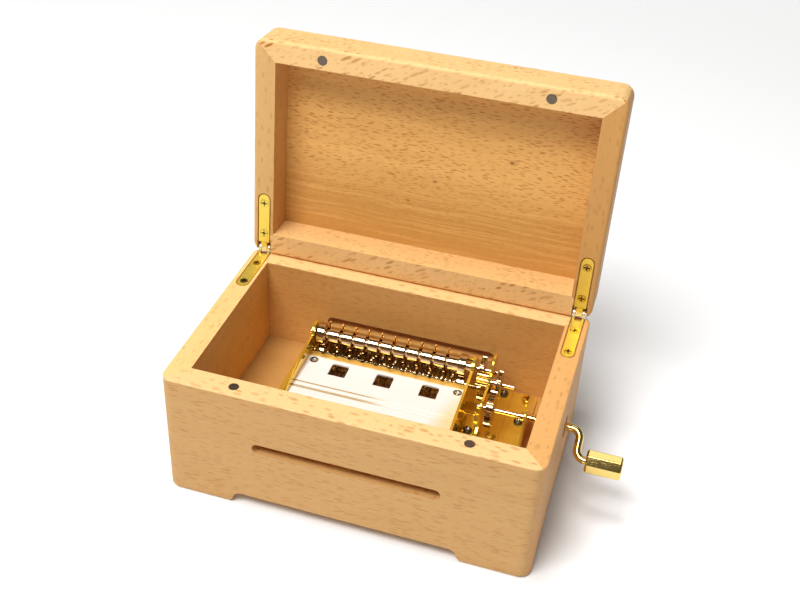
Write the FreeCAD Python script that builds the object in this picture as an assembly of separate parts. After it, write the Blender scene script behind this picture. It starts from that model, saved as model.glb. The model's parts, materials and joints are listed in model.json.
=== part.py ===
import FreeCAD, Part

import math
import os

# Paper strip music box: a wooden box on four feet with a hinged lid, shown open, and
# a hand cranked paper strip movement on its floor. Millimetres, +Z up. The origin is
# the middle of the four feet, on the surface that the box stands on. The long front
# board faces -Y and the crank comes out of the board at +X.

V = FreeCAD.Vector

# Wooden box
box_width = 152.8
box_depth = 98.9
body_height = 58.0
front_board_thickness = 9.9
back_board_thickness = 10.1
side_board_thickness = 9.5
corner_round = 5.0
rim_round = 0.7
foot_round = 1.6

# Feet and the arches between them, alike on all four sides
foot_length = 25.4
arch_height = 6.0
arch_run = 7.5

# Floor of the box, held in a groove of the four boards
floor_height = 17.0
floor_thickness = 5.0
floor_groove_depth = 3.0

# Slots that the paper strip goes in and out by
slot_width = 76.8
slot_height = 4.8
slot_above_cover = 1.6
slot_shift = 3.1

# Lid
lid_height = 18.2
lid_front_thickness = 9.4
lid_back_thickness = 10.1
lid_side_thickness = 9.4
lid_rim_round = 1.6
lid_top_round = 2.5
lid_gap = 0.3
lid_panel_thickness = 3.2
lid_panel_ledge = 3.4
lid_open_angle = 94.86

# Magnets in the front rims of body and lid
magnet_radius = 2.1
magnet_length = 3.0
magnet_spacing = 93.6
magnet_inset = 5.25
magnet_sink = 0.1

# Hinges, let into the side rims
hinge_inset = 5.2
hinge_axis_inset = 1.85
hinge_axis_rise = 2.05
leaf_width = 5.0
leaf_thickness = 1.4
leaf_tip_inset = 30.3
leaf_end_inset = 4.4
lid_leaf_short = 1.4
leaf_clearance = 0.2
leaf_side_gap = 0.5
ear_thickness = 1.0
ear_radius = 1.55
ear_root_lap = 0.5
ear_shoulder = 0.4
ear_heel = 0.9
tongue_run = 1.5
tongue_lap = 0.5
knuckle_play = 0.15
hinge_pin_radius = 0.75
pin_running_clearance = 0.04
hinge_pin_overhang = 0.15
leaf_screw_near = 11.8
leaf_screw_far = 26.5
lid_screw_shift = 1.9
leaf_screw_head_radius = 1.85
leaf_screw_head_height = 1.1
leaf_screw_radius = 0.9
leaf_screw_length = 7.0
screw_hole_spare = 0.5

# Screws in general: gap round a shank, and the driver's cross in a head
screw_clearance = 0.05
cross_width = 0.65
cross_depth = 0.6
cross_share = 0.63
pan_round_share = 0.4

# Paper track: the strip runs along Y, between the side plates
paper_width = 70.0
paper_side_play = 0.3
note_count = 30
note_pitch = 2.0
notes_per_finger = 3
side_plate_thickness = 1.2

# Bays to the right of the track: gears, then the crank gear up to the crank bracket's
# face, then the gap between that face and the right board, which places the movement
gear_bay = 7.35
crank_bay = 18.4
movement_right_gap = 6.4

# Movement base plate, on the floor
base_back_gap = 1.4
base_left_margin = 1.35
base_depth = 66.0
base_thickness = 1.0
base_corner = 3.0
flange_width = 7.6
flange_thickness = 0.8
right_flange_width = 6.0
mount_screw_inset = 3.9
flange_from_mount_screw = 3.3
flange_screw_from_mount_screw = 7.4
left_flange_screw_step = 9.0
right_flange_screw_step = 22.0
crank_flange_back = 16.0
crank_flange_front = 12.0
crank_flange_screw_inset = 4.0
gear_flange_back_margin = 0.6
gear_flange_front_margin = 5.0
mount_screw_head_radius = 2.5
mount_screw_head_height = 1.5
mount_screw_radius = 1.25
mount_screw_length = 4.6
flange_screw_head_radius = 1.9
flange_screw_head_height = 1.2
flange_screw_radius = 1.0

# Shafts: the roller's place is given, and gear sizes set the others
roller_from_base_back = 12.3
roller_above_floor = 19.5
roller_shaft_radius = 1.1
feed_shaft_radius = 1.1
idler_shaft_radius = 0.95
crank_shaft_radius = 1.05
shaft_clearance = 0.05
end_play = 0.3
shaft_stub = 1.2
feed_shaft_stub = 0.4
idler_shaft_stub = 10.0
clip_thickness = 0.6

# Gears
fine_module = 0.45
coarse_module = 0.6
pressure_angle = math.radians(20)
backlash = 0.08
centre_slack = 0.03
roller_gear_teeth = 24
feed_gear_teeth = 22
idler_pinion_teeth = 10
idler_gear_teeth = 18
crank_gear_teeth = 24
idler_lift = 0.45
crank_drop = 3.95
roller_gear_width = 1.6
roller_gear_gap = 2.3
feed_gear_width = 3.4
idler_gear_width = 1.5
crank_gear_width = 2.6
idler_gear_standoff = 2.7
crank_gear_standoff = 1.6
tooth_addendum = 0.95
tooth_dedendum = 1.2

# Roller over the paper and feed wheels under it
drum_radius = 3.65
ring_radius = 5.0
ring_width = 3.1
ring_from_last_note = 0.45
groove_width = 1.35
groove_depth = 1.6
feed_wheel_radius = 5.2
hub_radius = 2.4

# Star wheels that the holes in the paper turn
star_tip_radius = 5.8
star_root_radius = 3.6
star_thickness = 0.6
star_points = 8
star_waist_radius = 4.35
star_waist_share = 0.42
star_tip_half_angle = 0.05
star_turn_step = 0.382
star_bore_clearance = 0.06

# Paper guide fingers, one in each groove of the roller
finger_width = 1.0
finger_thickness = 0.4
finger_paper_gap = 0.3
finger_front_reach = 6.8
finger_front_rise = 4.3
finger_front_run = 3.0
finger_prong_reach = 2.5
finger_prong_rise = 5.6
finger_prong_bend = 1.6
guide_rail_gap = 0.4
guide_rail_thickness = 1.0
guide_rail_height = 4.2

# Tuned comb under the star wheels
comb_below_feed = 1.12
comb_thickness = 0.9
comb_heel_thickness = 2.4
comb_heel_depth = 12.0
comb_longest = 26.0
comb_shortest = 13.5
comb_tooth_width = 1.6
comb_tip_gap = 0.3
comb_weight_count = 10
comb_weight_drop = 2.4
comb_weight_length = 4.8
comb_weight_inset = 1.2
comb_block_margin = 2.0
comb_screw_count = 4
comb_screw_head_radius = 2.6
comb_screw_head_height = 1.5
comb_screw_radius = 1.3
comb_screw_end_gap = 1.5
comb_hole_end = 1.0

# Cover plate that the paper slides over, level with the underside of the rings
cover_thickness = 0.8
cover_from_roller = 6.8
cover_depth = 44.3
cover_notch = 0.7
cover_notch_gap = 0.35
window_width = 7.6
window_length = 7.8
window_corner = 1.2
window_shift = 0.5
window_from_back = 5.5
window_pitch = 20.15
window_tab_drop = 3.4
bead_width = 1.3
bead_height = 0.35
bead_lap = 0.1
bead_from_back = 21.1
bead_pitch = 3.0
cover_screw_inset = 3.15
cover_screw_from_back = 5.8
cover_post_radius = 1.8
cover_post_inset = 3.2
cover_screw_head_radius = 2.1
cover_screw_head_height = 0.7
cover_screw_radius = 0.9
cover_screw_length = 3.4

# Plates that carry the shafts. A rise or drop is measured from a shaft's axis.
ear_round = 5.5
ear_round_end = math.radians(160)
arm_front_margin = 4.6
arm_nose_drop = 1.4
arm_nose_from_front = 15.4
left_arm_above_cover = 1.8
left_shoulder_reach = 7.6
left_shoulder_rise = 2.1
right_arm_above_cover = 2.2
right_shoulder_reach = 11.9
right_shoulder_rise = 0.7
gear_bracket_thickness = 1.0
gear_bracket_head_rise = 8.6
gear_bracket_head_back_rise = 2.2
gear_bracket_head_front_rise = 3.3
gear_bracket_idler_rise = 3.0
gear_bracket_idler_run = 1.8
gear_bracket_crank_rise = 3.9
gear_bracket_nose_drop = 5.0
gear_bracket_slope_run = 7.0
gear_bracket_toe_height = 5.0
crank_bracket_thickness = 1.0
crank_bracket_rise = 3.8
crank_bracket_shoulder = 9.5
crank_bracket_shoulder_rise = 3.1
crank_bracket_back_drop = 2.4
crank_bracket_nose_drop = 5.0
crank_bracket_toe_height = 2.5

# Crank wire and knob
wire_radius = 1.65
wire_bend_radius = 3.8
crank_throw = 11.8
crank_lean = math.radians(52)
crank_arm_out = 6.6
wire_start_gap = 0.6
wire_socket_depth = 5.0
wall_hole_radius = 5.0
knob_from_bend = 0.15
knob_length = 14.6
knob_sides = 8
knob_across_flats = 9.4
knob_chamfer = 0.7
knob_pin_radius = 1.3
knob_head_radius = 2.2
knob_head_thickness = 0.8
knob_head_gap = 0.15
knob_seat_depth = 1.3
knob_clearance = 0.06
collar_radius = 1.8
collar_width = 1.2
bush_radius = 2.0

# A cut goes this far past the face that it opens, and two places this near are one
past = 1.0
tiny = 1e-6

# Places worked out from the sizes
front = -box_depth / 2
back = box_depth / 2
left = -box_width / 2
right = box_width / 2
inner_front = front + front_board_thickness
inner_back = back - back_board_thickness
inner_left = left + side_board_thickness
inner_right = right - side_board_thickness
floor_bottom = floor_height - floor_thickness
hinge_y = back - hinge_axis_inset
hinge_z = body_height + hinge_axis_rise
lid_z = body_height + lid_gap
lid_top = lid_z + lid_height
base_top = floor_height + base_thickness
flange_top = base_top + flange_thickness
base_y1 = inner_back - base_back_gap
base_y0 = base_y1 - base_depth
roller_y = base_y1 - roller_from_base_back
roller_z = floor_height + roller_above_floor


def pitch_radius(module, teeth):
    return module * teeth / 2


# Centre distances of the three meshes, and the shaft places that follow
feed_drop = pitch_radius(fine_module, roller_gear_teeth + feed_gear_teeth) + centre_slack
idler_reach = pitch_radius(fine_module, roller_gear_teeth + idler_pinion_teeth) + centre_slack
crank_reach = pitch_radius(coarse_module, idler_gear_teeth + crank_gear_teeth) + centre_slack
feed_y = roller_y
feed_z = roller_z - feed_drop
idler_y = roller_y - math.sqrt(idler_reach ** 2 - idler_lift ** 2)
idler_z = roller_z + idler_lift
crank_y = idler_y - math.sqrt(crank_reach ** 2 - crank_drop ** 2)
crank_z = idler_z - crank_drop

# Places along X, from the right board inwards
crank_bracket_right = inner_right - movement_right_gap
crank_bracket_left = crank_bracket_right - crank_bracket_thickness
gear_bracket_right = crank_bracket_right - crank_bay
gear_bracket_left = gear_bracket_right - gear_bracket_thickness
plate_out_right = gear_bracket_left - gear_bay
right_plate_x = plate_out_right - side_plate_thickness
track_x = right_plate_x - paper_side_play - paper_width / 2
left_plate_x = track_x - paper_width / 2 - paper_side_play
plate_out_left = left_plate_x - side_plate_thickness
base_left = plate_out_left - flange_width - base_left_margin
base_right = crank_bracket_right
slot_centre_x = track_x + slot_shift
note_half_span = note_pitch * (note_count - 1) / 2
finger_pitch = note_pitch * notes_per_finger
finger_count = note_count // notes_per_finger
first_finger_x = track_x - note_pitch * note_count / 2
ring_right_x0 = track_x + note_half_span + ring_from_last_note
ring_left_x1 = first_finger_x - ring_from_last_note - groove_width / 2
ring_right_x1 = ring_right_x0 + ring_width
ring_left_x0 = ring_left_x1 - ring_width
roller_gear_x0 = plate_out_right + roller_gear_gap
roller_gear_x1 = roller_gear_x0 + roller_gear_width
feed_gear_x0 = roller_gear_x0 + end_play
feed_gear_x1 = feed_gear_x0 + feed_gear_width
idler_gear_x0 = gear_bracket_right + idler_gear_standoff + end_play
crank_gear_x0 = gear_bracket_right + crank_gear_standoff + end_play
wire_x0 = crank_bracket_right + wire_start_gap
crank_arm_x = right + crank_arm_out
knob_left = crank_arm_x + wire_bend_radius + knob_from_bend + end_play
knob_seat_x = knob_left + knob_length - knob_seat_depth

# Heights and depths of the track
cover_top = roller_z - ring_radius
cover_bottom = cover_top - cover_thickness
cover_y1 = roller_y - cover_from_roller
cover_y0 = cover_y1 - cover_depth
slot_z = cover_top + slot_above_cover
comb_top = feed_z - comb_below_feed
comb_y1 = feed_y - math.sqrt(star_tip_radius ** 2 - (comb_top - feed_z) ** 2) - comb_tip_gap
comb_heel_y1 = comb_y1 - comb_longest
comb_heel_y0 = comb_heel_y1 - comb_heel_depth
paper_z = (roller_z - ring_radius + feed_z + feed_wheel_radius) / 2
window_y1 = cover_y1 - window_from_back
window_y0 = window_y1 - window_length


# Plain solids
def block(x0, x1, y0, y1, z0, z1):
    return Part.makeBox(x1 - x0, y1 - y0, z1 - z0, V(x0, y0, z0))


def rod_x(x0, x1, y, z, radius):
    return Part.makeCylinder(radius, x1 - x0, V(x0, y, z), V(1, 0, 0))


def rod_z(x, y, z0, z1, radius):
    return Part.makeCylinder(radius, z1 - z0, V(x, y, z0), V(0, 0, 1))


def cone_z(x, y, z0, z1, radius0, radius1):
    return Part.makeCone(radius0, radius1, z1 - z0, V(x, y, z0), V(0, 0, 1))


def merge(shapes):
    joined = shapes[0]
    for other in shapes[1:]:
        joined = joined.fuse(other)
    return joined.removeSplitter()


def group(shapes):
    return Part.makeCompound(shapes)


def yz(x):
    return lambda a, b: V(x, a, b)


def xz(y):
    return lambda a, b: V(a, y, b)


def xy(z):
    return lambda a, b: V(a, b, z)


def outline(place, entries):
    """Closed face through the entries: a point, or a pair of points (middle, end) for an arc."""
    last = entries[0]
    edges = []
    for entry in list(entries[1:]) + [entries[0]]:
        if isinstance(entry[0], tuple):
            middle, end = entry
            arc = Part.Arc(place(*last), place(*middle), place(*end))
            edges.append(arc.toShape())
            last = end
        elif math.dist(last, entry) > tiny:
            edges.append(Part.LineSegment(place(*last), place(*entry)).toShape())
            last = entry
    return Part.Face(Part.Wire(edges))


def plate(x0, x1, entries):
    return outline(yz(x0), entries).extrude(V(x1 - x0, 0, 0))


def polar(y, z, radius, angle):
    return (y + radius * math.cos(angle), z + radius * math.sin(angle))


def edges_near(shape, test):
    return [edge for edge in shape.Edges if test(edge.BoundBox)]


# Wooden box
def rounded_block(width, depth, z0, z1, round_bottom, round_top):
    solid = block(-width / 2, width / 2, -depth / 2, depth / 2, z0, z1)
    upright = edges_near(solid, lambda b: b.XLength < tiny and b.YLength < tiny)
    solid = solid.makeFillet(corner_round, upright)
    for z, radius in ((z0, round_bottom), (z1, round_top)):
        loop = edges_near(solid, lambda b: b.ZLength < tiny and abs(b.ZMin - z) < tiny)
        solid = solid.makeFillet(radius, loop)
    return solid


def ogee(edge_x, direction):
    """The two arcs of a foot's S-curve, from its end on the ground up to the arch."""
    radius = (arch_run ** 2 + arch_height ** 2) / (4 * arch_height)
    half = math.atan(arch_height / arch_run)
    side = radius * math.sin(half)
    rise = radius * (1 - math.cos(half))
    middle = (edge_x + direction * arch_run / 2, arch_height / 2)
    end = (edge_x + direction * arch_run, arch_height)
    low = (edge_x + direction * side, rise)
    high = (end[0] - direction * side, arch_height - rise)
    return [(low, middle), (high, end)]


def arch_face(place, start, stop):
    first = (start + foot_length, 0.0)
    top_end = (stop - foot_length - arch_run, arch_height)
    down = ogee(stop - foot_length, -1)
    entries = [(first[0], -past), first] + ogee(first[0], 1) + [top_end]
    entries.append((down[1][0], down[0][1]))
    entries.append((down[0][0], (stop - foot_length, 0.0)))
    entries.append((stop - foot_length, -past))
    return outline(place, entries)


def mitre_wedge(side, z0, z1, front_t, back_t, side_t):
    """The part of the plan that one board of a mitred frame takes, and a little past it."""
    reach = 1.4
    corners = {}
    for sx in (-1, 1):
        for sy in (-1, 1):
            thickness = front_t if sy < 0 else back_t
            outer = (sx * box_width / 2, sy * box_depth / 2)
            run = (-sx * side_t, -sy * thickness)
            corners[sx, sy] = (
                (outer[0] - run[0], outer[1] - run[1]),
                (outer[0] + reach * run[0], outer[1] + reach * run[1]),
            )
    ends = {"front": ((-1, -1), (1, -1)), "back": ((-1, 1), (1, 1)),
            "left": ((-1, -1), (-1, 1)), "right": ((1, -1), (1, 1))}[side]
    (a_out, a_in), (b_out, b_in) = corners[ends[0]], corners[ends[1]]
    return outline(xy(z0), [a_out, a_in, b_in, b_out]).extrude(V(0, 0, z1 - z0))


def slot_cutter(y0, y1):
    half = slot_height / 2
    x0 = slot_centre_x - slot_width / 2 + half
    x1 = slot_centre_x + slot_width / 2 - half
    entries = [
        (x0, slot_z - half),
        (x1, slot_z - half),
        ((x1 + half, slot_z), (x1, slot_z + half)),
        (x0, slot_z + half),
        ((x0 - half, slot_z), (x0, slot_z - half)),
    ]
    return outline(xz(y0), entries).extrude(V(0, y1 - y0, 0))


def wooden_body():
    ring = rounded_block(box_width, box_depth, 0, body_height, foot_round, rim_round)
    ring = ring.cut(block(inner_left, inner_right, inner_front, inner_back, -past, body_height + past))
    d = floor_groove_depth
    ring = ring.cut(block(inner_left - d, inner_right + d, inner_front - d, inner_back + d,
                          floor_bottom, floor_height))
    through = V(0, box_depth + 2 * past, 0)
    ring = ring.cut(arch_face(xz(front - past), left, right).extrude(through))
    across = V(box_width + 2 * past, 0, 0)
    ring = ring.cut(arch_face(yz(left - past), front, back).extrude(across))
    ring = ring.cut(slot_cutter(front - past, inner_front + past))
    ring = ring.cut(slot_cutter(inner_back - past, back + past))
    ring = ring.cut(rod_x(inner_right - past, right + past, crank_y, crank_z, wall_hole_radius))
    for x in (-magnet_spacing / 2, magnet_spacing / 2):
        ring = ring.cut(rod_z(x, front + magnet_inset, body_height - magnet_length - magnet_sink,
                              body_height + past, magnet_radius))
    for sign in (-1, 1):
        ring = ring.cut(leaf_recess(sign))
        ring = ring.cut(leaf_screw_holes(sign))
    nodes = {}
    for side in ("front", "back", "left", "right"):
        wedge = mitre_wedge(side, -past, body_height + past, front_board_thickness,
                            back_board_thickness, side_board_thickness)
        nodes[side + "_board"] = ring.common(wedge)
    return nodes


def floor_panel():
    d = floor_groove_depth
    panel = block(inner_left - d, inner_right + d, inner_front - d, inner_back + d,
                  floor_bottom, floor_height)
    for x, y in mount_screw_places():
        panel = panel.cut(rod_z(x, y, floor_bottom - past, floor_height + past,
                                mount_screw_radius + screw_clearance))
    return panel


# Hinges: everything of the lid is made in its closed place, then turned open
def to_open(shape):
    turned = shape.copy()
    turned.rotate(V(0, hinge_y, hinge_z), V(1, 0, 0), -lid_open_angle)
    return turned


leaf_y0 = back - leaf_tip_inset
lid_leaf_y0 = leaf_y0 + lid_leaf_short
leaf_y1 = back - leaf_end_inset
tongue_root = leaf_y1 - tongue_run
knuckle_half = leaf_width / 2 - ear_thickness - knuckle_play


def hinge_x(sign):
    return sign * (right - hinge_inset)


def leaf_plate(centre_x, tip, z0, z1, margin, y1):
    """A leaf with one round end, at tip; margin widens it for its recess."""
    half = leaf_width / 2 + margin
    x0 = centre_x - half
    x1 = centre_x + half
    y0 = tip - margin
    entries = [(x0, y1), (x0, y0 + half), ((centre_x, y0), (x1, y0 + half)), (x1, y1)]
    return outline(xy(z0), entries).extrude(V(0, 0, z1 - z0))


def leaf_recess(sign):
    x = hinge_x(sign)
    z0 = body_height - leaf_thickness
    z1 = body_height + past
    recess = leaf_plate(x, leaf_y0, z0, z1, leaf_side_gap, leaf_y1)
    half = leaf_width / 2 + leaf_side_gap
    return recess.fuse(block(x - half, x + half, leaf_y1 - ear_root_lap, back + past, z0, z1))


def lid_leaf_recess(sign):
    x = hinge_x(sign)
    z0 = lid_z - past
    recess = leaf_plate(x, lid_leaf_y0, z0, lid_z + leaf_thickness, leaf_side_gap, leaf_y1)
    half = leaf_width / 2 + leaf_side_gap + leaf_clearance
    top = hinge_z + ear_radius + 2 * leaf_clearance
    return recess.fuse(block(x - half, x + half, tongue_root - leaf_clearance, back + past, z0, top))


def screw_places(sign, shift):
    x = hinge_x(sign)
    return [(x, back - inset + shift) for inset in (leaf_screw_near, leaf_screw_far)]


def countersunk(x, y, top, direction, head_radius, head_height, shank_radius, length, margin):
    """Countersunk screw whose flat head is at top; direction -1 goes down, 1 goes up."""
    r1 = head_radius + margin
    r2 = shank_radius + margin
    head_end = top + direction * head_height
    tip = top + direction * (length + margin)
    if direction < 0:
        head = cone_z(x, y, head_end, top, r2, r1)
        shank = rod_z(x, y, tip, head_end, r2)
    else:
        head = cone_z(x, y, top, head_end, r1, r2)
        shank = rod_z(x, y, head_end, tip, r2)
    return head.fuse(shank)


def cross_length(head_radius):
    return 2 * cross_share * head_radius


def cross_slot(x, y, top, direction, length):
    z0, z1 = sorted((top, top + direction * cross_depth))
    w = cross_width / 2
    a = block(x - length / 2, x + length / 2, y - w, y + w, z0, z1)
    return a.fuse(block(x - w, x + w, y - length / 2, y + length / 2, z0, z1))


def leaf_screw_holes(sign):
    depth = leaf_screw_length + screw_hole_spare
    return group([rod_z(x, y, body_height - depth, body_height, leaf_screw_radius + screw_clearance)
                  for x, y in screw_places(sign, 0)])


def lid_screw_holes(sign):
    depth = leaf_screw_length + screw_hole_spare
    return group([rod_z(x, y, lid_z, lid_z + depth, leaf_screw_radius + screw_clearance)
                  for x, y in screw_places(sign, lid_screw_shift)])


def leaf_screws(sign, top, direction, shift):
    screws = []
    for x, y in screw_places(sign, shift):
        screw = countersunk(x, y, top, direction, leaf_screw_head_radius,
                            leaf_screw_head_height, leaf_screw_radius, leaf_screw_length, 0)
        screws.append(screw.cut(cross_slot(x, y, top, direction, cross_length(leaf_screw_head_radius))))
    return screws


def leaf_with_seats(leaf, sign, top, direction, shift):
    for x, y in screw_places(sign, shift):
        leaf = leaf.cut(countersunk(x, y, top, direction, leaf_screw_head_radius,
                                    leaf_screw_head_height, leaf_screw_radius,
                                    leaf_screw_length, screw_clearance))
    return leaf


def arm_to_axis(x0, x1, y_root, z_low, z_high):
    """Flat arm from a leaf's end to the round eye about the hinge axis."""
    eye = rod_x(x0, x1, hinge_y, hinge_z, ear_radius)
    slope = plate(x0, x1, [(y_root, z_low), (hinge_y, hinge_z - ear_radius),
                           (hinge_y, hinge_z + ear_radius), (y_root, z_high)])
    return eye.fuse(slope)


def body_leaf(sign):
    x = hinge_x(sign)
    z0 = body_height - leaf_thickness
    leaf = leaf_plate(x, leaf_y0, z0, body_height, 0, leaf_y1)
    for x0, x1 in ((x - leaf_width / 2, x - leaf_width / 2 + ear_thickness),
                   (x + leaf_width / 2 - ear_thickness, x + leaf_width / 2)):
        root = leaf_y1 - ear_root_lap
        ear = plate(x0, x1, [(root, z0), (hinge_y - ear_heel, z0), (hinge_y, hinge_z - ear_radius),
                             (hinge_y, hinge_z + ear_radius), (leaf_y1 + ear_shoulder, body_height),
                             (root, body_height)])
        leaf = leaf.fuse(ear).fuse(rod_x(x0, x1, hinge_y, hinge_z, ear_radius))
    leaf = leaf.cut(rod_x(x - leaf_width, x + leaf_width, hinge_y, hinge_z, hinge_pin_radius))
    return leaf_with_seats(leaf.removeSplitter(), sign, body_height, -1, 0)


def lid_leaf(sign):
    x = hinge_x(sign)
    z1 = lid_z + leaf_thickness
    leaf = leaf_plate(x, lid_leaf_y0, lid_z, z1, 0, tongue_root + tongue_lap)
    tongue = arm_to_axis(x - knuckle_half, x + knuckle_half, tongue_root, lid_z, z1)
    leaf = leaf.fuse(tongue).removeSplitter()
    leaf = leaf.cut(rod_x(x - leaf_width, x + leaf_width, hinge_y, hinge_z,
                          hinge_pin_radius + pin_running_clearance))
    return leaf_with_seats(leaf, sign, lid_z, 1, lid_screw_shift)


def hinge_pin(sign):
    x = hinge_x(sign)
    half = leaf_width / 2 + hinge_pin_overhang
    return rod_x(x - half, x + half, hinge_y, hinge_z, hinge_pin_radius)


# Lid: four mitred rails round a panel that lies in their rebate
def lid_nodes():
    ring = rounded_block(box_width, box_depth, lid_z, lid_top, lid_rim_round, lid_top_round)
    x0 = left + lid_side_thickness
    x1 = right - lid_side_thickness
    y0 = front + lid_front_thickness
    y1 = back - lid_back_thickness
    ring = ring.cut(block(x0, x1, y0, y1, lid_z - past, lid_top + past))
    e = lid_panel_ledge
    panel = block(x0 - e, x1 + e, y0 - e, y1 + e, lid_top - lid_panel_thickness, lid_top)
    ring = ring.cut(block(x0 - e, x1 + e, y0 - e, y1 + e, lid_top - lid_panel_thickness,
                          lid_top + past))
    for x in (-magnet_spacing / 2, magnet_spacing / 2):
        ring = ring.cut(rod_z(x, front + magnet_inset, lid_z - past,
                              lid_z + magnet_sink + magnet_length, magnet_radius))
    for sign in (-1, 1):
        ring = ring.cut(lid_leaf_recess(sign))
        ring = ring.cut(lid_screw_holes(sign))
    nodes = {}
    for side in ("front", "back", "left", "right"):
        wedge = mitre_wedge(side, lid_z - past, lid_top + past, lid_front_thickness,
                            lid_back_thickness, lid_side_thickness)
        nodes["lid_" + side + "_rail"] = to_open(ring.common(wedge))
    nodes["lid_panel"] = to_open(panel)
    return nodes


def magnets(z0):
    y = front + magnet_inset
    return [rod_z(x, y, z0, z0 + magnet_length, magnet_radius)
            for x in (-magnet_spacing / 2, magnet_spacing / 2)]


# Movement: base plate and its screws
def mount_screw_places():
    x0 = base_left + mount_screw_inset
    x1 = base_right - mount_screw_inset
    y0 = base_y0 + mount_screw_inset
    y1 = base_y1 - mount_screw_inset
    return [(x0, y0), (x1, y0), (x0, y1), (x1, y1)]


def flange_screw_places():
    """Two screws in each foot flange: left plate, right plate, gear bracket, crank bracket."""
    y_back = base_y1 - mount_screw_inset
    y_front = base_y0 + mount_screw_inset + flange_screw_from_mount_screw
    half = flange_width / 2
    left_x = plate_out_left - half
    right_x = plate_out_right + right_flange_width / 2
    gear_x = gear_bracket_right + half
    crank_x = crank_bracket_left - half
    crank_y1 = crank_y + crank_flange_back - crank_flange_screw_inset
    crank_y0 = crank_y - crank_flange_front + crank_flange_screw_inset
    return [(left_x, y_back - left_flange_screw_step), (left_x, y_front),
            (right_x, y_front + right_flange_screw_step), (right_x, y_front),
            (gear_x, y_back), (gear_x, y_front),
            (crank_x, crank_y1), (crank_x, crank_y0)]


def base_plate():
    solid = block(base_left, base_right, base_y0, base_y1, floor_height, base_top)
    upright = edges_near(solid, lambda b: b.XLength < tiny and b.YLength < tiny)
    solid = solid.makeFillet(base_corner, upright)
    for x, y in mount_screw_places():
        solid = solid.cut(rod_z(x, y, floor_height - past, base_top + past,
                                mount_screw_radius + screw_clearance))
    for x, y in flange_screw_places():
        solid = solid.cut(rod_z(x, y, floor_height - past, base_top + past,
                                flange_screw_radius + screw_clearance))
    return solid


def pan_screw(x, y, seat, head_radius, head_height, shank_radius, length):
    head = rod_z(x, y, seat, seat + head_height, head_radius)
    rim = edges_near(head, lambda b: b.ZMin > seat + head_height - tiny)
    head = head.makeFillet(pan_round_share * head_height, rim)
    head = head.cut(cross_slot(x, y, seat + head_height, -1, cross_length(head_radius)))
    return head.fuse(rod_z(x, y, seat - length, seat, shank_radius)).removeSplitter()


def mount_screws():
    return [pan_screw(x, y, base_top, mount_screw_head_radius, mount_screw_head_height,
                      mount_screw_radius, mount_screw_length) for x, y in mount_screw_places()]


def flange_screws():
    return [pan_screw(x, y, flange_top, flange_screw_head_radius, flange_screw_head_height,
                      flange_screw_radius, flange_thickness + base_thickness)
            for x, y in flange_screw_places()]


# Plates that carry the shafts
def drill(solid, x0, x1, holes):
    for y, z, radius in holes:
        solid = solid.cut(rod_x(x0 - past, x1 + past, y, z, radius))
    return solid


def flange(x0, x1, y0, y1):
    solid = block(x0, x1, y0, y1, base_top, flange_top)
    for x, y in flange_screw_places():
        solid = solid.cut(rod_z(x, y, base_top - past, flange_top + past,
                                flange_screw_radius + screw_clearance))
    return solid


def shaft_holes(names):
    shafts = {
        "roller": (roller_y, roller_z, roller_shaft_radius),
        "feed": (feed_y, feed_z, feed_shaft_radius),
        "idler": (idler_y, idler_z, idler_shaft_radius),
        "crank": (crank_y, crank_z, crank_shaft_radius),
    }
    return [(y, z, r + shaft_clearance) for y, z, r in (shafts[name] for name in names)]


def side_plate(x0, x1, shoulder_reach, shoulder_rise, above_cover):
    """Bearing ear over the roller shaft, and an arm that slopes down to the front."""
    ear_back = roller_y + ear_round
    nose_y = base_y0 + arm_nose_from_front
    nose_z = cover_top + above_cover
    arm_y = base_y0 + arm_front_margin
    solid = plate(x0, x1, [
        (ear_back, base_top),
        (ear_back, roller_z),
        ((roller_y, roller_z + ear_round), polar(roller_y, roller_z, ear_round, ear_round_end)),
        (roller_y - shoulder_reach, roller_z + shoulder_rise),
        (nose_y, nose_z),
        (arm_y, nose_z - arm_nose_drop),
        (arm_y, base_top),
    ])
    return solid


def left_side_plate():
    solid = side_plate(plate_out_left, left_plate_x, left_shoulder_reach, left_shoulder_rise,
                       left_arm_above_cover)
    foot = flange(plate_out_left - flange_width, plate_out_left,
                  base_y0 + mount_screw_inset + flange_from_mount_screw, roller_y + ear_round)
    return drill(solid.fuse(foot), plate_out_left, left_plate_x, shaft_holes(("roller", "feed")))


def right_side_plate():
    solid = side_plate(right_plate_x, plate_out_right, right_shoulder_reach, right_shoulder_rise,
                       right_arm_above_cover)
    y0 = base_y0 + mount_screw_inset + flange_from_mount_screw
    foot = flange(plate_out_right, plate_out_right + right_flange_width, y0,
                  y0 + 2 * flange_width + right_flange_screw_step)
    return drill(solid.fuse(foot), right_plate_x, plate_out_right, shaft_holes(("roller", "feed")))


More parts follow.
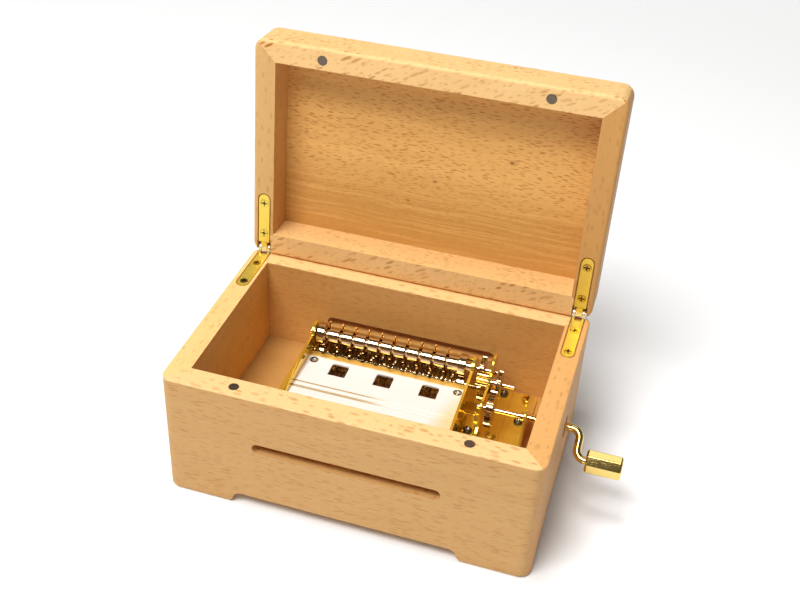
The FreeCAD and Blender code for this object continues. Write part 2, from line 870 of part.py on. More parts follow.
def gear_bracket():
    head_back = roller_y + ear_round
    crank_top = crank_z + gear_bracket_crank_rise
    nose = crank_y - ear_round
    toe_y = base_y0 + gear_flange_front_margin
    toe_z = base_top + gear_bracket_toe_height
    entries = [
        (head_back, base_top),
        (head_back, roller_z + gear_bracket_head_back_rise),
        ((roller_y, roller_z + gear_bracket_head_rise),
         (roller_y - ear_round, roller_z + gear_bracket_head_front_rise)),
        (idler_y, idler_z + gear_bracket_idler_rise),
        (idler_y - gear_bracket_idler_run, crank_top),
        (crank_y, crank_top),
        (polar(crank_y, crank_z, gear_bracket_crank_rise, math.radians(135)),
         (crank_y - gear_bracket_crank_rise, crank_z)),
        (nose, crank_z - gear_bracket_nose_drop),
        (nose - gear_bracket_slope_run, toe_z),
        (toe_y, toe_z),
        (toe_y, base_top),
    ]
    solid = plate(gear_bracket_left, gear_bracket_right, entries)
    foot = flange(gear_bracket_right, gear_bracket_right + flange_width, toe_y,
                  base_y1 - gear_flange_back_margin)
    names = ("roller", "feed", "idler", "crank")
    return drill(solid.fuse(foot), gear_bracket_left, gear_bracket_right, shaft_holes(names))


def crank_bracket():
    y0 = crank_y - crank_flange_front
    y1 = crank_y + crank_flange_back
    entries = [
        (y1, base_top),
        (y1, crank_z - crank_bracket_back_drop),
        (crank_y + crank_bracket_shoulder, crank_z + crank_bracket_shoulder_rise),
        (crank_y, crank_z + crank_bracket_rise),
        (polar(crank_y, crank_z, crank_bracket_rise, math.radians(135)),
         (crank_y - crank_bracket_rise, crank_z)),
        (crank_y - ear_round, crank_z - crank_bracket_nose_drop),
        (y0, base_top + crank_bracket_toe_height),
        (y0, base_top),
    ]
    solid = plate(crank_bracket_left, crank_bracket_right, entries)
    foot = flange(crank_bracket_left - flange_width, crank_bracket_left, y0, y1)
    return drill(solid.fuse(foot), crank_bracket_left, crank_bracket_right, shaft_holes(("crank",)))


# Comb, its block and its screws
def comb_x(index):
    return track_x - note_half_span + index * note_pitch


def comb_edges():
    margin = comb_tooth_width / 2 + comb_block_margin
    return comb_x(0) - margin, comb_x(note_count - 1) + margin


def comb_screw_xs():
    x0, x1 = comb_edges()
    step = (x1 - x0) / comb_screw_count
    return [x0 + (k + 0.5) * step for k in range(comb_screw_count)]


def comb_root(index):
    """How far back from the tips the slot beside tooth number index reaches."""
    share = index / (note_count - 1)
    return comb_y1 - comb_longest + (comb_longest - comb_shortest) * share


def comb():
    """Steel comb: a thick heel, and teeth that get shorter from the low notes to the high ones."""
    x0, x1 = comb_edges()
    z1 = comb_top
    half = comb_tooth_width / 2
    solid = block(x0, x1, comb_heel_y0, comb_y1, z1 - comb_thickness, z1)
    solid = solid.fuse(block(x0, x1, comb_heel_y0, comb_heel_y1, z1 - comb_heel_thickness, z1))
    edges = [(x0 - past, comb_x(0) - half, comb_root(0)),
             (comb_x(note_count - 1) + half, x1 + past, comb_root(note_count - 1))]
    edges += [(comb_x(i) + half, comb_x(i + 1) - half, comb_root(i)) for i in range(note_count - 1)]
    cutters = [block(a, b, root, comb_y1 + past, z1 - comb_thickness - past, z1 + past)
               for a, b, root in edges]
    solid = solid.cut(group(cutters))
    for i in range(comb_weight_count):
        drop = comb_weight_drop * (1 - i / (2 * comb_weight_count))
        weight = block(comb_x(i) - half, comb_x(i) + half, comb_y1 - comb_weight_length - comb_weight_inset,
                       comb_y1 - comb_weight_inset, z1 - comb_thickness - drop, z1 - comb_thickness)
        solid = solid.fuse(weight)
    solid = solid.removeSplitter()
    for x in comb_screw_xs():
        solid = solid.cut(rod_z(x, (comb_heel_y0 + comb_heel_y1) / 2, floor_height, z1 + past,
                                comb_screw_radius + screw_clearance))
    return solid


def comb_block():
    x0, x1 = comb_edges()
    top = comb_top - comb_heel_thickness
    solid = block(x0, x1, comb_heel_y0, comb_heel_y1, base_top, top)
    for x in comb_screw_xs():
        solid = solid.cut(rod_z(x, (comb_heel_y0 + comb_heel_y1) / 2, base_top + comb_hole_end, top + past,
                                comb_screw_radius + screw_clearance))
    return solid


def comb_screws():
    y = (comb_heel_y0 + comb_heel_y1) / 2
    length = comb_top - base_top - comb_screw_end_gap
    return [pan_screw(x, y, comb_top, comb_screw_head_radius, comb_screw_head_height,
                      comb_screw_radius, length) for x in comb_screw_xs()]


# Cover plate, on four posts between the side plates
def cover_screw_places():
    xs = (left_plate_x + cover_screw_inset, right_plate_x - cover_screw_inset)
    ys = (cover_y1 - cover_screw_from_back, cover_y0 + cover_post_inset)
    return [(x, y) for y in ys for x in xs]


def cover_posts():
    posts = []
    for x, y in cover_screw_places():
        post = rod_z(x, y, base_top, cover_bottom, cover_post_radius)
        posts.append(post.cut(rod_z(x, y, cover_bottom - cover_screw_length, cover_bottom + past,
                                    cover_screw_radius + screw_clearance)))
    return posts


def cover_screws():
    screws = []
    for x, y in cover_screw_places():
        screw = countersunk(x, y, cover_top, -1, cover_screw_head_radius, cover_screw_head_height,
                            cover_screw_radius, cover_screw_length, 0)
        screws.append(screw.cut(cross_slot(x, y, cover_top, -1, cross_length(cover_screw_head_radius))))
    return screws


def cover_plate():
    z0 = cover_bottom - past
    z1 = cover_top + past
    solid = block(left_plate_x, right_plate_x, cover_y0, cover_y1, cover_bottom, cover_top)
    for k in range(finger_count):
        x = first_finger_x + k * finger_pitch
        half = finger_width / 2 + cover_notch_gap
        solid = solid.cut(block(x - half, x + half, cover_y1 - cover_notch, cover_y1 + past, z0, z1))
    for k in (-1, 0, 1):
        x = track_x + window_shift + k * window_pitch
        half = window_width / 2
        hole = block(x - half, x + half, window_y0, window_y1, z0, z1)
        back_edges = edges_near(hole, lambda b: b.ZLength > cover_thickness and b.YMin > window_y1 - tiny)
        solid = solid.cut(hole.makeFillet(window_corner, back_edges))
        solid = solid.fuse(block(x - half, x + half, window_y0 - cover_thickness, window_y0,
                                 cover_top - window_tab_drop, cover_top))
    for k in (0, 1):
        y = cover_y1 - bead_from_back - k * bead_pitch
        bead = block(left_plate_x, right_plate_x, y - bead_width, y, cover_bottom - bead_height,
                     cover_bottom + bead_lap)
        solid = solid.fuse(bead)
        solid = solid.cut(block(left_plate_x - past, right_plate_x + past, y - bead_width, y,
                                cover_top - bead_height, z1))
    for x, y in cover_screw_places():
        solid = solid.cut(countersunk(x, y, cover_top, -1, cover_screw_head_radius,
                                      cover_screw_head_height, cover_screw_radius,
                                      cover_screw_length, screw_clearance))
    return solid.removeSplitter()


# Paper guide: a rail behind the roller and one spring finger in each groove
guide_rail_y = roller_y + ring_radius + guide_rail_gap + finger_thickness
guide_low = paper_z + finger_paper_gap


def guide_rail():
    return block(left_plate_x, right_plate_x, guide_rail_y, guide_rail_y + guide_rail_thickness,
                 guide_low, guide_low + guide_rail_height)


def guide_finger(x):
    """Sheet finger: lead-in nose, flat over the paper, prong up in the groove, foot on the rail."""
    t = finger_thickness
    low = guide_low
    high = low + t
    nose = (roller_y - finger_front_reach, low + finger_front_rise)
    knee = (nose[0] + finger_front_run, low)
    slope = math.dist(nose, knee)
    nose_top = (nose[0] + t * (nose[1] - knee[1]) / slope, nose[1] + t * finger_front_run / slope)
    prong = roller_y + finger_prong_reach
    bend = finger_prong_bend
    corner = math.radians(315)
    entries = [
        knee,
        (guide_rail_y, low),
        (guide_rail_y, low + guide_rail_height),
        (guide_rail_y - t, low + guide_rail_height),
        (guide_rail_y - t, high),
        (prong + t, high),
        (prong + t, roller_z + finger_prong_rise),
        (prong, roller_z + finger_prong_rise),
        (prong, high + bend),
        (polar(prong - bend, high + bend, bend, corner), (prong - bend, high)),
        (knee[0] + t / 2, high),
        nose_top,
        nose,
    ]
    return plate(x - finger_width / 2, x + finger_width / 2, entries)


def guide_fingers():
    return [guide_finger(first_finger_x + k * finger_pitch) for k in range(finger_count)]


# Gears
def involute_angle(radius, base_radius):
    if radius <= base_radius:
        return 0.0
    a = math.acos(base_radius / radius)
    return math.tan(a) - a


def gear(x0, x1, y, z, module, teeth, phase, bore):
    """Spur gear on an axis along X; phase is the angle of one tooth's middle, from +Y to +Z."""
    pitch = pitch_radius(module, teeth)
    base = pitch * math.cos(pressure_angle)
    root = pitch - tooth_dedendum * module
    tip = pitch + tooth_addendum * module
    foot = max(base, root)
    half_pitch = math.pi / (2 * teeth) - backlash / (2 * pitch)
    half_foot = half_pitch + involute_angle(pitch, base)

    def half_at(radius):
        return half_foot - involute_angle(radius, base)

    mean = (foot + tip) / 2
    entries = []
    for k in range(teeth):
        a = phase + 2 * math.pi * k / teeth
        gap_middle = a - math.pi / teeth
        entries.append((polar(y, z, root, gap_middle), polar(y, z, root, a - half_at(foot))))
        entries.append(polar(y, z, foot, a - half_at(foot)))
        entries.append((polar(y, z, mean, a - half_at(mean)), polar(y, z, tip, a - half_at(tip))))
        entries.append((polar(y, z, tip, a), polar(y, z, tip, a + half_at(tip))))
        entries.append((polar(y, z, mean, a + half_at(mean)), polar(y, z, foot, a + half_at(foot))))
        entries.append(polar(y, z, root, a + half_at(foot)))
    start = entries.pop()
    face = outline(yz(x0), [start] + entries)
    solid = face.extrude(V(x1 - x0, 0, 0))
    return solid.cut(rod_x(x0 - past, x1 + past, y, z, bore))


def direction(y0, z0, y1, z1):
    return math.atan2(z1 - z0, y1 - y0)


crank_to_idler = direction(crank_y, crank_z, idler_y, idler_z)
idler_to_roller = direction(idler_y, idler_z, roller_y, roller_z)
roller_to_feed = direction(roller_y, roller_z, feed_y, feed_z)
crank_gear_phase = crank_to_idler
idler_gear_phase = crank_to_idler + math.pi + math.pi / idler_gear_teeth
idler_pinion_phase = idler_to_roller
roller_gear_phase = idler_to_roller + math.pi + math.pi / roller_gear_teeth
roller_offset = (roller_gear_phase - roller_to_feed) % (2 * math.pi / roller_gear_teeth)
feed_gear_phase = (roller_to_feed + math.pi + math.pi / feed_gear_teeth
                   - roller_offset * roller_gear_teeth / feed_gear_teeth)


# Roller, feed wheels and star wheels
def roller_shaft():
    return rod_x(plate_out_left - end_play - shaft_stub, gear_bracket_right + shaft_stub,
                 roller_y, roller_z, roller_shaft_radius)


def roller_drum():
    def part(x0, x1, radius):
        return rod_x(x0, x1, roller_y, roller_z, radius)

    hub_left = part(left_plate_x + end_play, ring_left_x0, hub_radius)
    hub_right = part(ring_right_x1, right_plate_x - end_play, hub_radius)
    rings = [part(ring_left_x0, ring_left_x1, ring_radius), part(ring_right_x0, ring_right_x1, ring_radius)]
    drum = merge([part(ring_left_x1, ring_right_x0, drum_radius)] + rings + [hub_left, hub_right])
    for k in range(finger_count):
        x = first_finger_x + k * finger_pitch
        x0 = x - groove_width / 2
        x1 = x + groove_width / 2
        groove = part(x0, x1, drum_radius + past).cut(part(x0, x1, drum_radius - groove_depth))
        drum = drum.cut(groove)
    return drum.cut(part(left_plate_x, right_plate_x, roller_shaft_radius))


def feed_shaft():
    return rod_x(plate_out_left - end_play - shaft_stub, feed_gear_x1 + feed_shaft_stub, feed_y, feed_z,
                 feed_shaft_radius)


def feed_wheels():
    wheels = []
    for x0, x1, hub0, hub1 in (
            (ring_left_x0, ring_left_x1, left_plate_x + end_play, ring_left_x0),
            (ring_right_x0, ring_right_x1, ring_right_x1, right_plate_x - end_play)):
        wheel = rod_x(x0, x1, feed_y, feed_z, feed_wheel_radius)
        wheel = wheel.fuse(rod_x(hub0, hub1, feed_y, feed_z, hub_radius))
        wheels.append(wheel.cut(rod_x(left_plate_x, right_plate_x, feed_y, feed_z, feed_shaft_radius)))
    return wheels


def star_wheel(x, turn):
    """Thin wheel with curved points; turn is the angle of its first point."""
    step = math.pi / star_points
    side = star_waist_share * step
    entries = []
    for k in range(star_points):
        a = turn + 2 * k * step
        entries.append((polar(feed_y, feed_z, star_waist_radius, a - side),
                        polar(feed_y, feed_z, star_tip_radius, a - star_tip_half_angle)))
        entries.append(polar(feed_y, feed_z, star_tip_radius, a + star_tip_half_angle))
        entries.append((polar(feed_y, feed_z, star_waist_radius, a + side),
                        polar(feed_y, feed_z, star_root_radius, a + step)))
    start = polar(feed_y, feed_z, star_root_radius, turn - step)
    half = star_thickness / 2
    solid = outline(yz(x - half), [start] + entries).extrude(V(star_thickness, 0, 0))
    return solid.cut(rod_x(x - star_thickness, x + star_thickness, feed_y, feed_z,
                           feed_shaft_radius + star_bore_clearance))


def star_wheels():
    step = 2 * math.pi / star_points
    return [star_wheel(comb_x(i), step * ((i * star_turn_step) % 1.0)) for i in range(note_count)]


# Idler and crank
def idler_shaft():
    return rod_x(roller_gear_x0, gear_bracket_right + idler_shaft_stub, idler_y, idler_z,
                 idler_shaft_radius)


def idler_hub():
    hub = rod_x(gear_bracket_right + end_play, idler_gear_x0, idler_y, idler_z, bush_radius)
    return hub.cut(rod_x(gear_bracket_right, idler_gear_x0 + past, idler_y, idler_z, idler_shaft_radius))


def crank_shaft():
    return rod_x(gear_bracket_left - end_play - shaft_stub, wire_x0 + wire_socket_depth,
                 crank_y, crank_z, crank_shaft_radius)


def crank_collars():
    inner = rod_x(crank_bracket_left - end_play - collar_width, crank_bracket_left - end_play,
                  crank_y, crank_z, collar_radius)
    hub = rod_x(gear_bracket_right + end_play, crank_gear_x0, crank_y, crank_z, collar_radius)
    bore = rod_x(gear_bracket_left, wire_x0, crank_y, crank_z, crank_shaft_radius)
    return [inner.cut(bore), hub.cut(bore)]


def shaft_clips():
    """Retaining rings on the left ends of the roller and feed shafts."""
    clips = {}
    for name, y, z, radius in (("roller_clip", roller_y, roller_z, roller_shaft_radius),
                               ("feed_clip", feed_y, feed_z, feed_shaft_radius)):
        x1 = plate_out_left - end_play
        ring = rod_x(x1 - clip_thickness, x1, y, z, bush_radius)
        clips[name] = ring.cut(rod_x(x1 - past, x1 + past, y, z, radius))
    return clips


def crank_wire():
    """Round wire: out of the box, down along the arm, and out again through the knob."""
    arm_y = -math.sin(crank_lean)
    arm_z = -math.cos(crank_lean)
    r = wire_bend_radius
    k = r * (1 - math.cos(math.pi / 4))
    s = r * math.sin(math.pi / 4)

    def at(x, along):
        return V(x, crank_y + arm_y * along, crank_z + arm_z * along)

    x = crank_arm_x
    spine = [
        Part.LineSegment(at(wire_x0, 0), at(x - r, 0)).toShape(),
        Part.Arc(at(x - r, 0), at(x - r + s, k), at(x, r)).toShape(),
        Part.LineSegment(at(x, r), at(x, crank_throw - r)).toShape(),
        Part.Arc(at(x, crank_throw - r), at(x + r - s, crank_throw - k), at(x + r, crank_throw)).toShape(),
    ]
    wire = Part.Wire(spine)
    ring = Part.Wire([Part.Circle(at(wire_x0, 0), V(1, 0, 0), wire_radius).toShape()])
    solid = wire.makePipeShell([ring], True, False)
    pin_y, pin_z = knob_axis()
    stop = knob_seat_x + end_play
    solid = solid.fuse(rod_x(x + r, knob_left - end_play, pin_y, pin_z, wire_radius))
    solid = solid.fuse(rod_x(knob_left - end_play, stop, pin_y, pin_z, knob_pin_radius))
    return solid.cut(rod_x(wire_x0 - past, wire_x0 + wire_socket_depth, crank_y, crank_z,
                           crank_shaft_radius))


def knob_axis():
    return (crank_y - crank_throw * math.sin(crank_lean), crank_z - crank_throw * math.cos(crank_lean))


def knob_rivet():
    """Head on the wire's end, sunk in the knob's outer face."""
    pin_y, pin_z = knob_axis()
    x0 = knob_seat_x + end_play
    x1 = x0 + knob_head_thickness
    head = rod_x(x0, x1, pin_y, pin_z, knob_head_radius)
    return head.makeFillet(knob_head_thickness / 2, edges_near(head, lambda b: b.XMin > x1 - tiny))


def prism_x(x0, x1, y, z, across_flats, sides):
    radius = across_flats / 2 / math.cos(math.pi / sides)
    turn = math.pi / sides
    points = [polar(y, z, radius, turn + 2 * math.pi * k / sides) for k in range(sides)]
    return outline(yz(x0), points).extrude(V(x1 - x0, 0, 0))


def crank_knob():
    pin_y, pin_z = knob_axis()
    x0 = knob_left
    x1 = knob_left + knob_length
    solid = prism_x(x0, x1, pin_y, pin_z, knob_across_flats, knob_sides)
    ends = edges_near(solid, lambda b: b.XLength < tiny)
    solid = solid.makeChamfer(knob_chamfer, ends)
    seat = rod_x(knob_seat_x, x1 + past, pin_y, pin_z, knob_head_radius + knob_head_gap)
    bore = rod_x(x0 - past, x1 + past, pin_y, pin_z, knob_pin_radius + knob_clearance)
    return solid.cut(seat).cut(bore)


def build():
    nodes = {}
    nodes.update(wooden_body())
    nodes["floor_panel"] = floor_panel()
    nodes.update(lid_nodes())
    nodes["body_magnets"] = group(magnets(body_height - magnet_sink - magnet_length))
    nodes["lid_magnets"] = to_open(group(magnets(lid_z + magnet_sink)))
    for name, sign in (("left", -1), ("right", 1)):
        nodes["hinge_" + name + "_body_leaf"] = body_leaf(sign)
        nodes["hinge_" + name + "_lid_leaf"] = to_open(lid_leaf(sign))
        nodes["hinge_" + name + "_pin"] = hinge_pin(sign)
    nodes["hinge_body_screws"] = group(leaf_screws(-1, body_height, -1, 0)
                                       + leaf_screws(1, body_height, -1, 0))
    nodes["hinge_lid_screws"] = to_open(group(leaf_screws(-1, lid_z, 1, lid_screw_shift)
                                              + leaf_screws(1, lid_z, 1, lid_screw_shift)))
    nodes["movement_base_plate"] = base_plate()
    nodes["movement_screws"] = group(mount_screws())
    nodes["flange_screws"] = group(flange_screws())
    nodes["left_side_plate"] = left_side_plate()
    nodes["right_side_plate"] = right_side_plate()
    nodes["gear_bracket"] = gear_bracket()
    nodes["crank_bracket"] = crank_bracket()
    nodes["comb"] = comb()
    nodes["comb_block"] = comb_block()
    nodes["comb_screws"] = group(comb_screws())
    nodes["cover_plate"] = cover_plate()
    nodes["cover_posts"] = group(cover_posts())
    nodes["cover_screws"] = group(cover_screws())
    nodes["guide_rail"] = guide_rail()
    nodes["guide_fingers"] = group(guide_fingers())
    nodes["roller_shaft"] = roller_shaft()
    nodes["roller_drum"] = roller_drum()
    nodes["roller_gear"] = gear(roller_gear_x0, roller_gear_x1, roller_y, roller_z, fine_module,
                                roller_gear_teeth, roller_gear_phase, roller_shaft_radius)
    nodes["feed_shaft"] = feed_shaft()
    nodes["feed_wheels"] = group(feed_wheels())
    nodes["feed_gear"] = gear(feed_gear_x0, feed_gear_x1, feed_y, feed_z, fine_module,
                              feed_gear_teeth, feed_gear_phase, feed_shaft_radius)
    nodes.update(shaft_clips())
    nodes["star_wheels"] = group(star_wheels())
    nodes["idler_shaft"] = idler_shaft()
    nodes["idler_hub"] = idler_hub()
    nodes["idler_pinion"] = gear(roller_gear_x0, gear_bracket_left - end_play, idler_y, idler_z,
                                 fine_module, idler_pinion_teeth, idler_pinion_phase,
                                 idler_shaft_radius)
    nodes["idler_gear"] = gear(idler_gear_x0, idler_gear_x0 + idler_gear_width, idler_y, idler_z,
                               coarse_module, idler_gear_teeth, idler_gear_phase, idler_shaft_radius)
    nodes["crank_shaft"] = crank_shaft()
    nodes["crank_collars"] = group(crank_collars())
    nodes["crank_gear"] = gear(crank_gear_x0, crank_gear_x0 + crank_gear_width, crank_y, crank_z,
                               coarse_module, crank_gear_teeth, crank_gear_phase, crank_shaft_radius)
    nodes["crank_wire"] = crank_wire()
    nodes["crank_knob"] = crank_knob()
    nodes["knob_rivet"] = knob_rivet()
    return nodes


def main():
    os.makedirs("parts", exist_ok=True)
    for name, shape in build().items():
        solids = shape.Solids
        good = shape.isValid() and solids and all(solid.isClosed() for solid in solids)
        print(name, len(solids), "ok" if good else "NOT VALID", round(shape.Volume, 1))
        shape.exportStep("parts/" + name + ".step")


main()
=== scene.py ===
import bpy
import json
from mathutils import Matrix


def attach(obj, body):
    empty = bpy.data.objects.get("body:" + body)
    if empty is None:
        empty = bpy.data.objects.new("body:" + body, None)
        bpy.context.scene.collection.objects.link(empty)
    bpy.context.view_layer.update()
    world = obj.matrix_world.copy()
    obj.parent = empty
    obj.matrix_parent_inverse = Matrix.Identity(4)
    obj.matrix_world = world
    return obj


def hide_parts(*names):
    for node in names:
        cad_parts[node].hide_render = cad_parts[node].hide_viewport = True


bl_info = {
    "name": "Paper Strip Music Box",
    "version": (1, 0, 0),
    "blender": (4, 5, 0),
    "location": "3D View > Sidebar > Music Box",
    "description": "Dresses the packed music box: wood, hinges, movement, crank and stage",
    "category": "Object",
}

import json
import math

import bmesh
import bpy
from bpy.props import FloatProperty, FloatVectorProperty, PointerProperty
from mathutils import Matrix, Vector

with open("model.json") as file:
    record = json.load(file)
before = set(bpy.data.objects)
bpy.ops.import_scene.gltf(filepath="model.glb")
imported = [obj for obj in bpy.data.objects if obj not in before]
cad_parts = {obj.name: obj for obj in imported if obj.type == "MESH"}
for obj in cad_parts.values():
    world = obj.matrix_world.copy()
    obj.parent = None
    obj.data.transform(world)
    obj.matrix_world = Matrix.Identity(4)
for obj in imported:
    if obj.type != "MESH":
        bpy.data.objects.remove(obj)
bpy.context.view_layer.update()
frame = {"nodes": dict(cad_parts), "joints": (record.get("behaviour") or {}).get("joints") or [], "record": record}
MM = 0.001


def joint(name):
    return next(j for j in frame["joints"] if j["name"] == name)


# The lid is packed open. This turn brings a closed place to the open one.
LID_ANGLE = math.radians(joint("lid_hinge")["range_deg"][1])
LID_PIVOT = Vector(joint("lid_hinge")["pos_m"])
LID_TURN = (Matrix.Translation(LID_PIVOT) @ Matrix.Rotation(-LID_ANGLE, 4, "X")
            @ Matrix.Translation(-LID_PIVOT))

BODY_BOARDS = ("front_board", "back_board", "left_board", "right_board")
LID_RAILS = ("lid_front_rail", "lid_back_rail", "lid_left_rail", "lid_right_rail")
LONG_RAILS = ("lid_front_rail", "lid_back_rail")

# Of each board: red, green and blue of its tone beside the settings' wood, set face by face to how light the board
# shows, so that it holds painted light and shade as well as the wood's own tone, how pale its upper edge is, which
# is painted light, how strong its ray marks are and how much they crowd
BOARD_LOOKS = {
    "front_board": ((0.83, 0.79, 0.78), 0.85, 0.90, 0.3),
    "back_board": ((0.92, 0.79, 0.62), 0.80, 0.80, 0.3),
    "left_board": ((1.24, 1.30, 1.40), 0.0, 0.60, 0.3),
    "right_board": ((0.96, 0.82, 0.70), 0.10, 0.60, 0.3),
    "lid_front_rail": ((0.95, 0.92, 0.92), 0.0, 1.70, 0.85),
    "lid_back_rail": ((0.92, 0.87, 0.85), 0.0, 1.30, 0.8),
    "lid_left_rail": ((0.93, 0.91, 0.90), 0.0, 0.60, 0.3),
    "lid_right_rail": ((0.82, 0.70, 0.55), 0.0, 0.70, 0.3),
}

# The same for the tone of the floor panel, darkened also as painted shade inside the box
FLOOR_HUE = (0.64, 0.54, 0.40)

# Sizes of the wood's features along, between and across its rings, in millimetres
WAVES = (34, 18, 12)
CROWDS = (26, 12, 9)
RINGS = (170, 8, 6)
CLOUDS = (45, 22, 18)
STREAKS = (8, 4, 0.9)
LONG_STREAKS = (75, 8, 1.2)
FIBRES = (3.4, 0.28, 0.16)

# How much the ray marks lean, as a share of their way through the board
MARK_SLANT = 0.45

# How far each next board is cut from another place of the wood, in millimetres
NEXT_BOARD = (61.7, 23.9, 17.3)

# Heights between which a board's face turns into its upper edge, where the painted light of the upper edge starts,
# in millimetres
PAINTED_RIM_LIGHT_HEIGHTS = (57.2, 57.95)

# Lid panel, in millimetres along its face: where its darker zone starts and is full, and how dark it is
PANEL_ZONE = (-114.0, -78.0, 0.50)

# Knots of the lid panel: their place on its face, and their half length and width
PANEL_KNOTS = (((32.5, -119.9), (1.0, 0.7)), ((0.8, -104.9), (0.8, 0.45)), ((-10.4, -94.0), (0.7, 0.4)))

# Cover plate, in millimetres: where a painted reflection turns it golden at its back, and towards its right front,
# standing in for the gold and wood that the plate mirrors there
COVER_REFLECTION_BACK = (14.8, 16.3)
COVER_REFLECTION_CORNER = (22.0, 34.0)

# Of each bead's painted shade: its place, half its width, how dark it is
COVER_BEAD_SHADES = ((-2.35, 0.32, 0.85), (-5.75, 0.85, 0.80))

# Distances from the box over which the floor's painted glow grows stronger, in millimetres
FLOOR_BRIGHTENS = (450.0, 1600.0)

# How rough each metal finish is, from 0 for a mirror to 1
ROUGH = {"gold": 0.06, "cover": 0.36, "finger": 0.18, "block": 0.3, "gold_screw": 0.2,
         "dark_screw": 0.28, "bright_slot": 0.25, "hinge_screw": 0.22, "hinge_slot": 0.4, "pin": 0.15,
         "turned": 0.03, "star": 0.20, "comb": 0.25, "gear": 0.14, "brass_gear": 0.12, "shaft": 0.05,
         "crank": 0.04}

# The driver's cross lies between these depths under a screw head's face
CROSS_SKIN = 0.03 * MM
CROSS_DEPTH = 0.62 * MM

# Half the width of the cross in each kind of screw
CROSS_HALF = {"hinge_body_screws": 1.2 * MM, "hinge_lid_screws": 1.2 * MM, "movement_screws": 1.58 * MM,
              "flange_screws": 1.2 * MM, "comb_screws": 1.64 * MM, "cover_screws": 1.33 * MM}

# Bevel of a screw head's rim, which takes the painted colour of the cross, and the least angle of an edge that is
# a rim
SCREW_RING = 0.22 * MM
RIM_ANGLE = math.radians(25)

# Corners nearer than this are one, faces that turn less than this are one, and edges that turn more
# than the last are sharp
SAME_CORNER = 0.002 * MM
SAME_FACE = math.radians(0.3)
SMOOTH_ANGLE = math.radians(32)

# A mitred end is larger than this, and its normal leans towards X by a share in this range
MITRE_AREA = 60 * MM * MM
MITRE_LEAN = (0.3, 0.95)

# Each light, in metres: its place, what it faces and its size, and whether polished metal mirrors it
LIGHTS = {
    "over": ((-0.28, 0.06, 1.58), (0.0, 0.0, 0.06), (0.5, 0.5), False),
    "high": ((-0.28, -0.72, 1.42), (0.0, 0.0, 0.06), (0.8, 0.6), True),
    "back": ((0.30, 1.05, 1.20), (0.3, 0.5, 0.0), (0.8, 0.8), True),
}

# The camera's sensor, in millimetres, and the colour of the light from all around
SENSOR_WIDTH = 36.0
ROOM_TONE = (1.0, 0.93, 0.82, 1.0)


# Sizes and colours that a user would change
def colour(name, text, value):
    return FloatVectorProperty(name=name, description=text, default=value, size=3,
                               subtype="COLOR", min=0, max=1)


def length(name, text, value):
    return FloatProperty(name=name, description=text, default=value * MM, min=0, unit="LENGTH",
                         precision=5)


class WoodSettings(bpy.types.PropertyGroup):
    light: colour("Light wood", "Pale wood between the growth rings", (0.790, 0.490, 0.190))
    dark: colour("Dark wood", "Darker wood of the growth rings", (0.690, 0.395, 0.140))
    rail_light: colour("Rail light", "Pale wood of the lid's frame", (0.950, 0.640, 0.280))
    rail_dark: colour("Rail dark", "Darker wood of the lid's frame", (0.850, 0.530, 0.205))
    # Pale tone of the upper edges: painted light from above, over the planed edge's own tone
    rim: colour("Rim", "Pale planed upper edge of the box", (0.940, 0.600, 0.270))
    panel_light: colour("Panel light", "Pale wood of the lid panel", (0.900, 0.520, 0.165))
    panel_dark: colour("Panel dark", "Darker wood of the lid panel", (0.640, 0.320, 0.080))
    mark: colour("Ray marks", "Short brown marks of the rays", (0.44, 0.160, 0.027))
    mark_length: length("Mark room along", "Room of one mark along the grain", 5.2)
    mark_depth: length("Mark room between rings", "Room of one mark across the rings", 2.1)
    mark_height: length("Mark room across", "Room of one mark across the grain", 0.74)
    ease: length("Eased edge", "Width of the eased edges of boards and rails", 0.16)


class MetalSettings(bpy.types.PropertyGroup):
    gold: colour("Gold plate", "Polished sheet of the movement", (1.0, 0.68, 0.08))
    # Near white, paler than the plating's own champagne gold: partly painted sheen, as the plate shines white
    # under the light from above
    cover: colour("Cover plate", "Pale satin plate under the strip", (1.0, 0.985, 0.96))
    # Golden tone of the cover plate: painted reflection at its back and right front, and, darkened, the painted
    # shade along its beads
    cover_reflection_and_shade: colour("Cover plate's edge", "Warm plating near the cover plate's edges", (0.90, 0.62, 0.16))
    roller: colour("Roller", "Polished roller and its rings", (0.80, 0.60, 0.36))
    # Bronze tone of the fingers, darkened also as painted reflection of the dark and the wood that they mirror
    finger: colour("Fingers", "Spring fingers over the strip", (0.58, 0.29, 0.08))
    hinge: colour("Hinge brass", "Hinge leaves and their screws", (0.95, 0.69, 0.10))
    # Pale tone of the hinge pins; also the painted highlight round the knuckles and on the pale crosses and rims
    # of the dark screws
    knuckle: colour("Hinge pins", "Bright pins of the hinges", (0.90, 0.86, 0.74))
    crank: colour("Crank brass", "Crank wire and knob", (0.93, 0.68, 0.22))
    shaft: colour("Shafts", "Bright shafts, their clips and hubs", (0.86, 0.70, 0.46))
    steel: colour("Steel", "Gears", (0.56, 0.40, 0.22))
    # Darker than their steel: the tone also holds painted shade, as the star wheels sit in shade under the roller
    star: colour("Star wheels", "Dark star wheels", (0.30, 0.20, 0.09))
    comb: colour("Comb", "Comb under the cover plate", (0.55, 0.38, 0.22))
    # Dark steel: heads of the flange, comb and cover screws, darkened also for the dark that the polished heads
    # mirror; in the crosses and rims of the hinge and gold screws it is painted shade
    screw: colour("Dark screws", "Dark screws of the movement", (0.17, 0.15, 0.13))
    magnet: colour("Magnet", "Nickel on the magnets", (0.13, 0.10, 0.075))
    sheet_ease: length("Sheet edge", "Width of the eased edges of sheet metal", 0.12)
    knob_ease: length("Knob edge", "Width of the eased edges of the knob", 0.28)
    turned_ease: length("Turned edge", "Width of the eased edges of roller and feed wheels", 0.15)
    finger_ease: length("Finger edge", "Width of the eased edges of the fingers", 0.08)
    comb_ease: length("Comb edge", "Width of the eased edges of the comb", 0.06)
    magnet_ease: length("Magnet edge", "Width of the eased edges of the magnets", 0.25)


